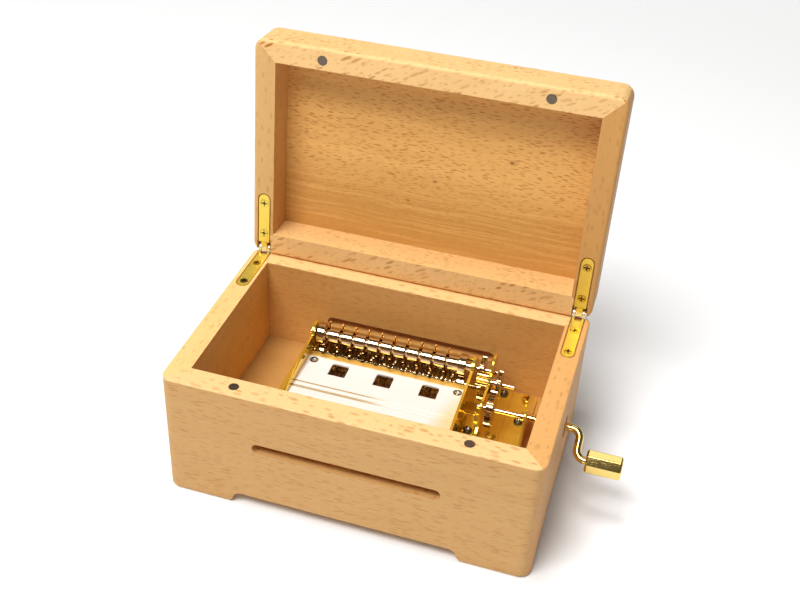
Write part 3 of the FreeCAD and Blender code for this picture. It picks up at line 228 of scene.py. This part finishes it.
class StageSettings(bpy.types.PropertyGroup):
    floor_size: FloatProperty(name="Floor", description="Side of the floor", default=8.0, unit="LENGTH")
    floor_tone: FloatProperty(name="Floor tone", description="Grey of the floor", default=0.93)
    # The floor's glow is painted light: the floor gives light though it is no lamp, faint near the box and strong
    # far away
    floor_glow: FloatProperty(name="Floor glow", description="Light that the lit floor gives", default=0.06)
    far_glow: FloatProperty(name="Far floor glow", description="Light that the far floor gives", default=0.8)
    background: FloatProperty(name="Background", description="Brightness behind the floor", default=0.95)
    camera_place: FloatVectorProperty(name="Camera", description="Place of the camera",
                                      default=(0.1002, -0.3550, 0.3476), subtype="TRANSLATION")
    camera_turn: FloatVectorProperty(name="Camera turn", description="Turn of the camera, in degrees",
                                     default=(53.7818, -1.7421, 18.1306))
    lens: FloatProperty(name="Lens", description="Focal length in millimetres", default=52.06)
    shift: FloatVectorProperty(name="Shift", description="Shift of the lens", size=2,
                               default=(0.0397, 0.0079))
    over_power: FloatProperty(name="Overhead light", description="Watts of the light overhead",
                              default=11.0)
    high_power: FloatProperty(name="Front light", description="Watts of the high light in front",
                              default=24.0)
    back_power: FloatProperty(name="Back light", description="Watts of the light behind the box",
                              default=2.5)
    room_seen: FloatProperty(name="Room seen", description="Brightness of the room in polished metal",
                             default=0.10)
    sky: FloatProperty(name="Room light", description="Strength of the light from all around",
                       default=0.03)


# Shader nodes as Python expressions
class Value:
    """One number in a node tree. Python's operators add its Math nodes."""

    def __init__(self, nodes, socket):
        self.nodes = nodes
        self.socket = socket

    def __add__(self, other):
        return self.nodes.math("ADD", self, other)

    def __sub__(self, other):
        return self.nodes.math("SUBTRACT", self, other)

    def __rsub__(self, other):
        return self.nodes.math("SUBTRACT", other, self)

    def __mul__(self, other):
        return self.nodes.math("MULTIPLY", self, other)

    def __truediv__(self, other):
        return self.nodes.math("DIVIDE", self, other)

    def __rtruediv__(self, other):
        return self.nodes.math("DIVIDE", other, self)

    def __pow__(self, other):
        return self.nodes.math("POWER", self, other)

    def __gt__(self, other):
        return self.nodes.math("GREATER_THAN", self, other)

    __radd__ = __add__
    __rmul__ = __mul__

    def siblings(self):
        """All outputs of the node that this value comes from."""
        return [Value(self.nodes, socket) for socket in self.socket.node.outputs]

    def clamped(self):
        return self.nodes.math("MINIMUM", self.nodes.math("MAXIMUM", self, 0.0), 1.0)

    def smooth(self, start, stop):
        """0 before start and 1 after stop, with a soft step between; either way round."""
        return self.nodes.node("ShaderNodeMapRange", {"interpolation_type": "SMOOTHSTEP"},
                               {"Value": self, "From Min": start, "From Max": stop}, "Result")


class NodeTree:
    """Adds nodes to a tree and links them."""

    def __init__(self, tree):
        self.tree = tree

    def feed(self, socket, value):
        if isinstance(value, Value):
            self.tree.links.new(value.socket, socket)
        else:
            socket.default_value = value

    def node(self, kind, settings, values, output):
        """Adds a node: its settings first, then its values or links; the named output comes back."""
        made = self.tree.nodes.new(kind)
        for key, value in settings.items():
            setattr(made, key, value)
        for key, value in values.items():
            self.feed(made.inputs[key], value)
        return Value(self, made.outputs[output])

    def math(self, operation, first, second):
        return self.node("ShaderNodeMath", {"operation": operation}, {0: first, 1: second}, 0)


class Shader(NodeTree):
    """One material under construction, with a Principled surface."""

    def __init__(self, name):
        self.material = bpy.data.materials.new(name)
        self.material.use_nodes = True
        super().__init__(self.material.node_tree)
        self.tree.nodes.clear()
        self.surface = self.tree.nodes.new("ShaderNodeBsdfPrincipled")
        output = self.tree.nodes.new("ShaderNodeOutputMaterial")
        self.tree.links.new(self.surface.outputs["BSDF"], output.inputs["Surface"])

    def place(self, turn=(0, 0, 0), shift=(0, 0, 0)):
        """Object coordinates in millimetres, turned and then shifted."""
        raw = self.node("ShaderNodeTexCoord", {}, {}, "Object")
        size = (1 / MM, 1 / MM, 1 / MM)
        return self.node("ShaderNodeMapping", {},
                         {"Vector": raw, "Rotation": turn, "Location": shift, "Scale": size}, 0)

    def split(self, vector):
        return self.node("ShaderNodeSeparateXYZ", {}, {0: vector}, 0).siblings()

    def vector(self, x, y, z):
        return self.node("ShaderNodeCombineXYZ", {}, {0: x, 1: y, 2: z}, 0)

    def noise(self, vector, scale=1.0, detail=2.0, roughness=0.5):
        return self.node("ShaderNodeTexNoise", {}, {"Vector": vector, "Scale": scale, "Detail": detail,
                                                    "Roughness": roughness}, "Fac")

    def grain(self, parts, sizes, detail=2.0, roughness=0.5):
        """Noise whose features have the given sizes along the three parts of a place."""
        where = self.vector(*[part / size for part, size in zip(parts, sizes)])
        return self.noise(where, detail=detail, roughness=roughness)

    def mix(self, share, first, second):
        """The second colour over the first by share."""
        made = self.tree.nodes.new("ShaderNodeMix")
        made.data_type = "RGBA"
        sockets = [s for s in made.inputs if s.enabled]
        self.feed(sockets[0], share)
        self.feed(sockets[1], first)
        self.feed(sockets[2], second)
        return Value(self, next(s for s in made.outputs if s.enabled))

    def bump(self, height, distance, strength):
        return self.node("ShaderNodeBump", {}, {"Height": height, "Distance": distance,
                                                "Strength": strength}, "Normal")

    def set(self, **values):
        """Feeds sockets of the surface; base_color means Base Color."""
        for key, value in values.items():
            self.feed(self.surface.inputs[key.replace("_", " ").title()], value)
        return self.material


def solid(tone, share=1.0):
    """An opaque colour, darkened to a share of its tone."""
    return (tone[0] * share, tone[1] * share, tone[2] * share, 1.0)


def tinted(tone, hue):
    return [c * h for c, h in zip(tone, hue)]


# Wood
def ray_marks(shader, parts, room, share):
    """Lens-shaped marks, one in each room of the given size; share of the rooms hold one."""
    where = shader.vector(*[part / size for part, size in zip(parts, room)])
    near = shader.node("ShaderNodeTexVoronoi", {},
                       {"Vector": where, "Scale": 1.0, "Randomness": 0.92}, "Distance")
    tint = Value(shader, near.socket.node.outputs["Color"])
    chance, width, weight = shader.node("ShaderNodeSeparateColor", {}, {0: tint}, 0).siblings()
    radius = 0.30 + 0.20 * width
    held = chance > 1.0 - share
    strength = 0.55 + 0.45 * weight
    return (near / radius).smooth(1.0, 0.5) * held * strength


def knot(along, across, place, radius):
    """A small dark knot at a place in the face, with a soft rim round it."""
    off_along = (along - place[0]) / radius[0]
    off_across = (across - place[1]) / radius[1]
    distance = (off_along * off_along + off_across * off_across) ** 0.5
    return distance.smooth(1.0, 0.35) + distance.smooth(2.6, 0.8) * 0.3


def wood(name, settings, turn, seed, tones, boldness, room=1.0, share=0.88, zone=None, slant=0.0,
         crowding=0.35, knots=(), rim=0.0):
    """Fine sanded wood whose grain runs along X after turn; boldness is how strong its marks are.

    room scales the rooms of the marks, share of them hold one, slant tilts the marks and crowding
    gathers them in patches. zone is a darker stretch of the face, with long streaks. rim is how much
    paler the board's upper edge is: painted light from above, over the planed edge that is cut across the rings."""
    shader = Shader(name)
    face = shader.split(shader.place(turn))
    shift = [seed * step for step in NEXT_BOARD]
    along, between, across = shader.split(shader.place(turn, shift))
    wave = shader.grain((along, between, across), WAVES, detail=1.5)
    across = across + (wave - 0.5) * 5.0
    slanted = along + between * MARK_SLANT
    between = between + along * slant
    parts = (along, between, across)

    rooms = [x / MM * room for x in (settings.mark_length, settings.mark_depth, settings.mark_height)]
    marks = ray_marks(shader, (slanted, between, across), rooms, share)
    small = ray_marks(shader, parts, [x * 0.55 for x in rooms], 0.6)
    patches = shader.grain(parts, CROWDS).smooth(0.36, 0.60)
    marks = marks * (1.0 - crowding + crowding * patches)

    rings = shader.grain(parts, RINGS, detail=2.5)
    cloud = shader.grain(parts, CLOUDS)
    streak = shader.grain(parts, STREAKS)
    fibre = shader.grain(parts, FIBRES, detail=3, roughness=0.6)
    depth = rings * 0.80 + cloud * 0.40 + streak * 0.36 + fibre * 0.40 - 0.49
    if zone:
        start, full, darkness = zone
        # Darker over the zone, which lies towards the lid panel's lower edge, with long streaks and fewer marks
        darker_stretch = face[2].smooth(start, full)
        long = shader.grain(parts, LONG_STREAKS, detail=2.5)
        depth = depth + darker_stretch * (darkness + 2.6 * (long - 0.5))
        marks = marks * (1.0 - 0.8 * darker_stretch)

    shade = shader.mix(depth.clamped(), solid(tones[0]), solid(tones[1]))
    # Painted light: the upper edge is mixed towards the pale rim tone
    if rim:
        shade = shader.mix(face[2].smooth(*PAINTED_RIM_LIGHT_HEIGHTS) * rim, shade, solid(settings.rim))
    shade = shader.mix(small * (0.22 * boldness), shade, solid(settings.mark))
    shade = shader.mix((marks * (0.62 * boldness)).clamped(), shade, solid(settings.mark))
    for place, radius in knots:
        spot = knot(face[0], face[2], place, radius)
        shade = shader.mix((spot * 0.75).clamped(), shade, solid(settings.mark, 0.55))

    height = fibre * 0.5 - marks * 0.8 - small * 0.3
    shader.surface.inputs["Specular IOR Level"].default_value = 0.25
    return shader.set(base_color=shade, roughness=0.46 + 0.14 * fibre + 0.08 * marks,
                      normal=shader.bump(height, 0.05 * MM, 0.55), coat_weight=0.05)


# Metals
def polished_sheet(name, tone, roughness, brushing, metallic=1.0):
    """Plated sheet: a mirror softened by faint rolling lines, smudges and a gentle waviness.

    brushing is how strong the lines are; less metallic plating shows more of its own colour."""
    shader = Shader(name)
    place = shader.place()
    lines = shader.grain(shader.split(place), (9.0, 0.11, 0.11))
    smudge = shader.noise(place, scale=0.11, detail=3)
    waves = shader.noise(place, scale=0.17, detail=1)
    rough = roughness + 0.10 * (lines - 0.5) * brushing + 0.12 * (smudge - 0.45).clamped()
    shade = shader.mix((smudge * 0.8).clamped(), solid(tone), solid(tone, 0.80))
    height = lines * (0.004 * brushing) + waves * 0.05
    return shader.set(base_color=shade, metallic=metallic, roughness=rough.clamped(),
                      normal=shader.bump(height, MM, 0.6))


def satin_plate(name, tone, reflection_and_shade_tone, roughness):
    """Pale satin plating, whose near-white tone is partly painted sheen: light spreads on it as on frosted metal,
    with faint rolling lines.

    A painted reflection turns it golden along the plate's back edge and towards its right front corner, and a
    painted shade runs along each bead."""
    shader = Shader(name)
    place = shader.place()
    x, y, z = shader.split(place)
    # Painted reflection: golden along the back edge and towards the right front corner
    back = y.smooth(*COVER_REFLECTION_BACK)
    corner = (x - y * 0.3).smooth(*COVER_REFLECTION_CORNER)
    lines = shader.grain((x, y, z), (14.0, 0.10, 0.10))
    smudge = shader.noise(place, scale=0.09, detail=3)
    shade = shader.mix((smudge * 0.4).clamped(), solid(tone), solid(tone, 0.95))
    shade = shader.mix((back + corner * 0.7).clamped(), shade, solid(reflection_and_shade_tone))
    # Painted shade along each pressed bead, fainter towards the right
    bead_shade_fade = 0.25 + 0.75 * x.smooth(6.0, -8.0)
    for place_y, half, strength in COVER_BEAD_SHADES:
        off = (y - place_y) / half
        bead_shade = (off * off).smooth(1.0, 0.2) * bead_shade_fade * strength
        shade = shader.mix(bead_shade, shade, solid(reflection_and_shade_tone, 0.5))
    rough = roughness + 0.08 * (lines - 0.5) + 0.08 * (smudge - 0.45).clamped()
    return shader.set(base_color=shade, metallic=0.30 + 0.5 * back, roughness=rough,
                      normal=shader.bump(lines * 0.003, MM, 0.5))


def hinge_brass(tone, bright):
    """Satin brass plating with faint lengthwise lines; round the pin it is painted pale and smoother, a painted
    highlight on the knuckle.
    """
    shader = Shader("hinge_leaf_brass_and_painted_highlight")
    place = shader.place()
    x, y, z = shader.split(place)
    lines = shader.grain((x, y, z), (0.12, 9.0, 9.0))
    smudge = shader.noise(place, scale=0.3, detail=3)
    off_y = y - LID_PIVOT.y / MM
    off_z = z - LID_PIVOT.z / MM
    # Painted highlight: the knuckle round the pin is mixed towards the pale pin tone
    knuckle = ((off_y * off_y + off_z * off_z) ** 0.5).smooth(2.3, 1.9)
    shade = shader.mix((smudge * 0.8).clamped(), solid(tone), solid(tone, 0.82))
    shade = shader.mix(knuckle * 0.7, shade, solid(bright))
    rough = 0.34 + 0.10 * (lines - 0.5) + 0.10 * (smudge - 0.45).clamped() - 0.12 * knuckle
    return shader.set(base_color=shade, metallic=0.55, roughness=rough,
                      normal=shader.bump(lines * 0.004, MM, 0.5))


def turned_metal(name, tone, roughness):
    """Metal turned on a lathe about an axis along X: fine rings, a few of them deeper."""
    shader = Shader(name)
    place = shader.place()
    parts = shader.split(place)
    fine = shader.grain(parts, (0.07, 40, 40))
    coarse = shader.grain(parts, (0.6, 30, 30), detail=1)
    dirt = shader.noise(place, scale=0.35, detail=3)
    shade = shader.mix((dirt * 0.7).clamped(), solid(tone), solid(tone, 0.72))
    rough = roughness + 0.10 * fine + 0.10 * (dirt - 0.4).clamped()
    return shader.set(base_color=shade, metallic=1.0, roughness=rough,
                      normal=shader.bump(fine * 0.006 + coarse * 0.01, MM, 0.6))


def cut_steel(name, tone, roughness):
    """Stamped or cut steel: ground faces with fine scratches and darker oil film."""
    shader = Shader(name)
    place = shader.place()
    scratch = shader.grain(shader.split(place), (0.10, 1.9, 0.10), detail=3, roughness=0.6)
    film = shader.noise(place, scale=0.3, detail=3)
    shade = shader.mix((film * 1.1 - 0.1).clamped(), solid(tone), solid(tone, 0.55))
    rough = roughness + 0.16 * (scratch - 0.5) + 0.14 * (film - 0.4).clamped()
    return shader.set(base_color=shade, metallic=1.0, roughness=rough.clamped(),
                      normal=shader.bump(scratch * 0.008, MM, 0.7))


def drawn_brass(name, tone, roughness):
    """Polished brass with faint handling marks."""
    shader = Shader(name)
    place = shader.place()
    lines = shader.grain(shader.split(place), (3.0, 0.13, 0.13))
    touch = shader.noise(place, scale=0.22, detail=4, roughness=0.6)
    shade = shader.mix((touch * 0.9).clamped(), solid(tone), solid(tone, 0.83))
    rough = roughness + 0.07 * lines + 0.13 * (touch - 0.45).clamped()
    return shader.set(base_color=shade, metallic=1.0, roughness=rough,
                      normal=shader.bump(lines * 0.004 + touch * 0.012, MM, 0.5))


def magnet_nickel(name, tone):
    """Dull nickel with fine pits and dark stains."""
    shader = Shader(name)
    place = shader.place()
    grain = shader.noise(place, scale=3.0, detail=3)
    stain = shader.noise(place, scale=0.8, detail=2)
    shade = shader.mix(stain, solid(tone), solid(tone, 1.7))
    return shader.set(base_color=shade, metallic=0.85, roughness=0.34 + 0.2 * grain,
                      normal=shader.bump(grain * 0.02, MM, 0.6))


# Meshes
def merged(node):
    """A bmesh of a CAD node, its doubles merged and its flat faces joined."""
    made = bmesh.new()
    made.from_mesh(frame["nodes"][node].data)
    bmesh.ops.remove_doubles(made, verts=made.verts, dist=SAME_CORNER)
    bmesh.ops.dissolve_limit(made, angle_limit=SAME_FACE, verts=made.verts, edges=made.edges)
    return made


def piece(name, made, body, material):
    """Turns a bmesh into a finished object that rides on a body."""
    mesh = bpy.data.meshes.new(name)
    made.to_mesh(mesh)
    made.free()
    mesh.materials.append(material)
    mesh.shade_smooth()
    mesh.set_sharp_from_angle(angle=SMOOTH_ANGLE)
    made_object = bpy.data.objects.new(name, mesh)
    bpy.context.scene.collection.objects.link(made_object)
    weighted = made_object.modifiers.new("Flat faces stay flat", "WEIGHTED_NORMAL")
    weighted.keep_sharp = True
    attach(made_object, body)
    return made_object


def body_of(node):
    bodies = frame["record"]["behaviour"]["bodies"]
    return next(body for body, nodes in bodies.items() if node in nodes)


def is_mitre(face):
    """A glued face of a mitred board: flat, large and turned part way towards X."""
    least, most = MITRE_LEAN
    return least < abs(face.normal.x) < most and face.calc_area() > MITRE_AREA


def eased(node, width, material, angle=50, segments=2):
    """The node's own shape with its sharp edges eased; mitred joints stay tight."""
    made = merged(node)
    sharp = [e for e in made.edges if e.is_manifold and e.calc_face_angle() > math.radians(angle)
             and not any(is_mitre(f) for f in e.link_faces)]
    bmesh.ops.bevel(made, geom=sharp, offset=width, offset_type="OFFSET", segments=segments,
                    profile=0.5, affect="EDGES", clamp_overlap=True, material=-1)
    made_object = piece(node + "_finished", made, body_of(node), material)
    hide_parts(node)
    return made_object


def axes_of(made, closed):
    """Middle in plan of each separate solid in a bmesh that closed turns."""
    left = set(made.verts)
    found = []
    while left:
        island = {left.pop()}
        front = list(island)
        while front:
            for edge in front.pop().link_edges:
                for vert in edge.verts:
                    if vert in left:
                        left.remove(vert)
                        island.add(vert)
                        front.append(vert)
        places = [closed @ v.co for v in island]
        found.append([(min(p[i] for p in places) + max(p[i] for p in places)) / 2 for i in (0, 1)])
    return found


def screws(node, head, cross, closed=Matrix.Identity(4), down=-1):
    """Screws whose driver's cross and head's rim get the material cross: a dark one is painted shade there, a pale
    one a painted highlight.

    closed brings them to where they point along Z, and down is the way in which they sink."""
    made = merged(node)
    axes = axes_of(made, closed)
    top = max(-down * (closed @ v.co).z for v in made.verts)
    half = CROSS_HALF[node]

    def measured(point):
        """Distance of a point from its screw's axis, and its depth under the face of the head."""
        turned = closed @ point
        return min(math.dist((turned.x, turned.y), axis) for axis in axes), top + down * turned.z

    rims = []
    for edge in made.edges:
        corners = [measured(v.co) for v in edge.verts]
        outer = all(radius > half and depth < CROSS_SKIN for radius, depth in corners)
        if outer and edge.is_manifold and edge.calc_face_angle() > RIM_ANGLE:
            rims.append(edge)
    bmesh.ops.bevel(made, geom=rims, offset=SCREW_RING, offset_type="OFFSET", segments=1,
                    profile=0.5, affect="EDGES", clamp_overlap=True, material=1)
    for face in made.faces:
        radius, depth = measured(face.calc_center_median())
        if radius < half and CROSS_SKIN < depth < CROSS_DEPTH:
            face.material_index = 1
    made_object = piece(node + "_finished", made, body_of(node), head)
    made_object.data.materials.append(cross)
    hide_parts(node)
    return made_object


def paint(node, material):
    """A CAD node keeps its shape and gets a better material."""
    mesh = frame["nodes"][node].data
    for index in range(max(1, len(mesh.materials))):
        if index < len(mesh.materials):
            mesh.materials[index] = material
        else:
            mesh.materials.append(material)


class MUSICBOX_OT_boards(bpy.types.Operator):
    """Boards of the box, its floor and the frame and panel of the lid, in light wood"""

    bl_idname = "music_box.boards"
    bl_label = "Wooden Box"

    def execute(self, context):
        s = context.scene.music_box_wood
        across = math.radians(-90)
        seed = 1.0
        for names, turn in ((BODY_BOARDS, 0.0), (LID_RAILS, LID_ANGLE)):
            for node in names:
                side = "left" in node or "right" in node
                hue, rim, boldness, crowding = BOARD_LOOKS[node]
                long = node in LONG_RAILS
                tones = (s.rail_light, s.rail_dark) if long else (s.light, s.dark)
                # The board's hue also holds painted light and shade: darker on the right board and the lid's right
                # rail, lighter on the left board
                tones = [tinted(tone, hue) for tone in tones]
                turns = (turn, 0, across if side else 0)
                material = wood(node + "_wood", s, turns, seed, tones, boldness, crowding=crowding,
                                rim=rim, slant=MARK_SLANT if long else 0.0)
                eased(node, s.ease, material)
                seed += 1.0
        flat = math.radians(90)
        panel = wood("lid_panel_wood", s, (LID_ANGLE + flat, 0, 0), 9.0, (s.panel_light, s.panel_dark), 1.7,
                     room=0.88, share=1.0, zone=PANEL_ZONE, knots=PANEL_KNOTS)
        floor_tones = [tinted(tone, FLOOR_HUE) for tone in (s.light, s.dark)]
        floor = wood("floor_wood", s, (flat, 0, 0), 11.0, floor_tones, 0.6)
        paint("lid_panel", panel)
        paint("floor_panel", floor)
        return {"FINISHED"}


class MUSICBOX_OT_hinges(bpy.types.Operator):
    """Hinge leaves, their pins and screws, and the magnets of the rims"""

    bl_idname = "music_box.hinges"
    bl_label = "Hinges and Magnets"

    def execute(self, context):
        s = context.scene.music_box_metal
        brass = hinge_brass(s.hinge, s.knuckle)
        screw = drawn_brass("hinge_screw_brass", s.hinge, ROUGH["hinge_screw"])
        # Dark crosses and rims of the hinge screws: painted shade
        cross = cut_steel("hinge_screw_painted_shade", s.screw, ROUGH["hinge_slot"])
        for side in ("left", "right"):
            for leaf in ("body_leaf", "lid_leaf"):
                eased("hinge_" + side + "_" + leaf, s.sheet_ease, brass)
            pin = turned_metal("pin_finish_" + side, s.knuckle, ROUGH["pin"])
            paint("hinge_" + side + "_pin", pin)
        screws("hinge_body_screws", screw, cross)
        screws("hinge_lid_screws", screw, cross, LID_TURN.inverted(), 1)
        for node in ("body_magnets", "lid_magnets"):
            eased(node, s.magnet_ease, magnet_nickel(node + "_nickel", s.magnet))
        return {"FINISHED"}


class MUSICBOX_OT_plates(bpy.types.Operator):
    """Base plate, side plates, brackets, cover plate, guide fingers and their screws"""

    bl_idname = "music_box.plates"
    bl_label = "Movement Plates"

    def execute(self, context):
        s = context.scene.music_box_metal
        gold = polished_sheet("gold_sheet", s.gold, ROUGH["gold"], 0.4, metallic=0.78)
        cover = satin_plate("cover_sheet_and_painted_light", s.cover, s.cover_reflection_and_shade, ROUGH["cover"])
        # The fingers' darker tone is partly painted reflection
        finger = polished_sheet("finger_sheet_and_painted_reflection", s.finger, ROUGH["finger"], 0.6)
        for node in ("movement_base_plate", "left_side_plate", "right_side_plate", "gear_bracket",
                     "crank_bracket", "guide_rail"):
            eased(node, s.sheet_ease, gold)
        eased("cover_plate", s.sheet_ease, cover)
        eased("guide_fingers", s.finger_ease, finger)
        screw = drawn_brass("movement_screw_gold", s.gold, ROUGH["gold_screw"])
        # Painted shade in the crosses and rims of the gold screws; the other screws' dark heads also stand in for
        # the dark they mirror, and their pale crosses and rims are painted highlights
        dark = cut_steel("dark_steel_and_painted_shade", s.screw, ROUGH["dark_screw"])
        bright = cut_steel("bright_slot_steel", s.knuckle, ROUGH["bright_slot"])
        screws("movement_screws", screw, dark)
        for node in ("flange_screws", "comb_screws", "cover_screws"):
            screws(node, dark, bright)
        return {"FINISHED"}


class MUSICBOX_OT_roller(bpy.types.Operator):
    """Grooved roller, feed wheels, star wheels and comb"""

    bl_idname = "music_box.roller"
    bl_label = "Roller, Stars and Comb"

    def execute(self, context):
        s = context.scene.music_box_metal
        turned = turned_metal("turned_gold", s.roller, ROUGH["turned"])
        # The star wheels' dark tone is partly painted shade
        star = cut_steel("star_steel_and_painted_shade", s.star, ROUGH["star"])
        for node in ("roller_drum", "feed_wheels"):
            eased(node, s.turned_ease, turned)
        for node in ("cover_posts", "crank_collars", "idler_hub", "knob_rivet"):
            paint(node, turned)
        paint("star_wheels", star)
        eased("comb", s.comb_ease, cut_steel("comb_steel_finish", s.comb, ROUGH["comb"]))
        paint("comb_block", polished_sheet("block_gold", s.gold, ROUGH["block"], 1.0))
        return {"FINISHED"}


class MUSICBOX_OT_gears(bpy.types.Operator):
    """Gears, shafts and clips"""

    bl_idname = "music_box.gears"
    bl_label = "Gears and Shafts"

    def execute(self, context):
        s = context.scene.music_box_metal
        gear = cut_steel("gear_finish", s.steel, ROUGH["gear"])
        brass_gear = cut_steel("brass_gear_finish", s.crank, ROUGH["brass_gear"])
        shaft = turned_metal("shaft_finish", s.shaft, ROUGH["shaft"])
        for node in ("roller_gear", "crank_gear", "idler_gear"):
            paint(node, gear)
        for node in ("feed_gear", "idler_pinion"):
            paint(node, brass_gear)
        for node in ("roller_shaft", "feed_shaft", "idler_shaft", "crank_shaft", "roller_clip", "feed_clip"):
            paint(node, shaft)
        return {"FINISHED"}


class MUSICBOX_OT_crank(bpy.types.Operator):
    """Bent crank wire and the eight sided knob on its end"""

    bl_idname = "music_box.crank"
    bl_label = "Crank"

    def execute(self, context):
        s = context.scene.music_box_metal
        paint("crank_wire", drawn_brass("crank_brass", s.crank, ROUGH["crank"]))
        knob = drawn_brass("knob_brass_finish", s.crank, ROUGH["crank"])
        eased("crank_knob", s.knob_ease, knob, angle=20, segments=3)
        return {"FINISHED"}


# Stage
def soft_light(name, place, target, size, mirrored, power):
    """An area light; one that isn't mirrored stays out of polished metal, as light through cloth does."""
    light = bpy.data.lights.new(name, "AREA")
    light.shape = "RECTANGLE"
    light.size, light.size_y = size
    light.energy = power
    made = bpy.data.objects.new(name, light)
    made.location = place
    made.rotation_euler = (Vector(target) - Vector(place)).to_track_quat("-Z", "Y").to_euler()
    made.visible_glossy = mirrored
    bpy.context.scene.collection.objects.link(made)


def floor_plane(size, tone, glow, far_glow):
    """A pale floor with a painted glow, faint near the box and strong far from it."""
    made = bmesh.new()
    bmesh.ops.create_grid(made, x_segments=1, y_segments=1, size=size / 2)
    mesh = bpy.data.meshes.new("floor")
    made.to_mesh(mesh)
    made.free()
    shader = Shader("floor_paper_painted_glow")
    x, y, _ = shader.split(shader.place())
    far = ((x * x + y * y) ** 0.5).smooth(*FLOOR_BRIGHTENS)
    light = shader.mix(far, solid([glow] * 3), solid([far_glow] * 3))
    mesh.materials.append(shader.set(base_color=solid([tone] * 3), roughness=0.8,
                                     emission_strength=1.0, emission_color=light))
    floor = bpy.data.objects.new("floor", mesh)
    bpy.context.scene.collection.objects.link(floor)


def room_light(strength, mirrored, behind):
    """Light from all around; metal mirrors a brighter room, and the background is paler still."""
    world = bpy.data.worlds.new("room")
    world.use_nodes = True
    nodes = NodeTree(world.node_tree)
    glossy = nodes.node("ShaderNodeLightPath", {}, {}, "Is Glossy Ray")
    seen = nodes.node("ShaderNodeLightPath", {}, {}, "Is Camera Ray")
    background = world.node_tree.nodes["Background"]
    background.inputs["Color"].default_value = ROOM_TONE
    power = strength + glossy * (mirrored - strength) + seen * (behind - strength)
    nodes.feed(background.inputs["Strength"], power)
    bpy.context.scene.world = world


class MUSICBOX_OT_stage(bpy.types.Operator):
    """Pale floor, soft lights and the camera at the photograph's place"""

    bl_idname = "music_box.stage"
    bl_label = "Stage"

    def execute(self, context):
        s = context.scene.music_box_stage
        floor_plane(s.floor_size, s.floor_tone, s.floor_glow, s.far_glow)
        room_light(s.sky, s.room_seen, s.background)
        for name, power in (("over", s.over_power), ("high", s.high_power), ("back", s.back_power)):
            soft_light(name + "_light", *LIGHTS[name], power)
        data = bpy.data.cameras.new("camera")
        data.sensor_width = SENSOR_WIDTH
        data.lens = s.lens
        data.shift_x, data.shift_y = s.shift
        camera = bpy.data.objects.new("camera", data)
        camera.location = s.camera_place
        camera.rotation_euler = [math.radians(a) for a in s.camera_turn]
        bpy.context.scene.collection.objects.link(camera)
        bpy.context.scene.camera = camera
        bpy.context.scene.view_settings.view_transform = "Standard"
        return {"FINISHED"}


OPERATORS = (MUSICBOX_OT_boards, MUSICBOX_OT_hinges, MUSICBOX_OT_plates, MUSICBOX_OT_roller,
             MUSICBOX_OT_gears, MUSICBOX_OT_crank, MUSICBOX_OT_stage)


class MUSICBOX_PT_panel(bpy.types.Panel):
    """Lists the steps that dress the music box"""

    bl_label = "Music Box"
    bl_idname = "MUSICBOX_PT_panel"
    bl_space_type = "VIEW_3D"
    bl_region_type = "UI"
    bl_category = "Music Box"

    def draw(self, context):
        for operator in OPERATORS:
            self.layout.operator(operator.bl_idname)


SETTINGS = {"music_box_wood": WoodSettings, "music_box_metal": MetalSettings,
            "music_box_stage": StageSettings}


def register():
    for cls in (*SETTINGS.values(), *OPERATORS, MUSICBOX_PT_panel):
        bpy.utils.register_class(cls)
    for name, cls in SETTINGS.items():
        setattr(bpy.types.Scene, name, PointerProperty(type=cls))


def unregister():
    for name in SETTINGS:
        delattr(bpy.types.Scene, name)
    for cls in (MUSICBOX_PT_panel, *reversed(OPERATORS), *SETTINGS.values()):
        bpy.utils.unregister_class(cls)


def main():
    register()
    for operator in OPERATORS:
        group, name = operator.bl_idname.split(".")
        getattr(getattr(bpy.ops, group), name)()


if __name__ == "__main__":
    main()
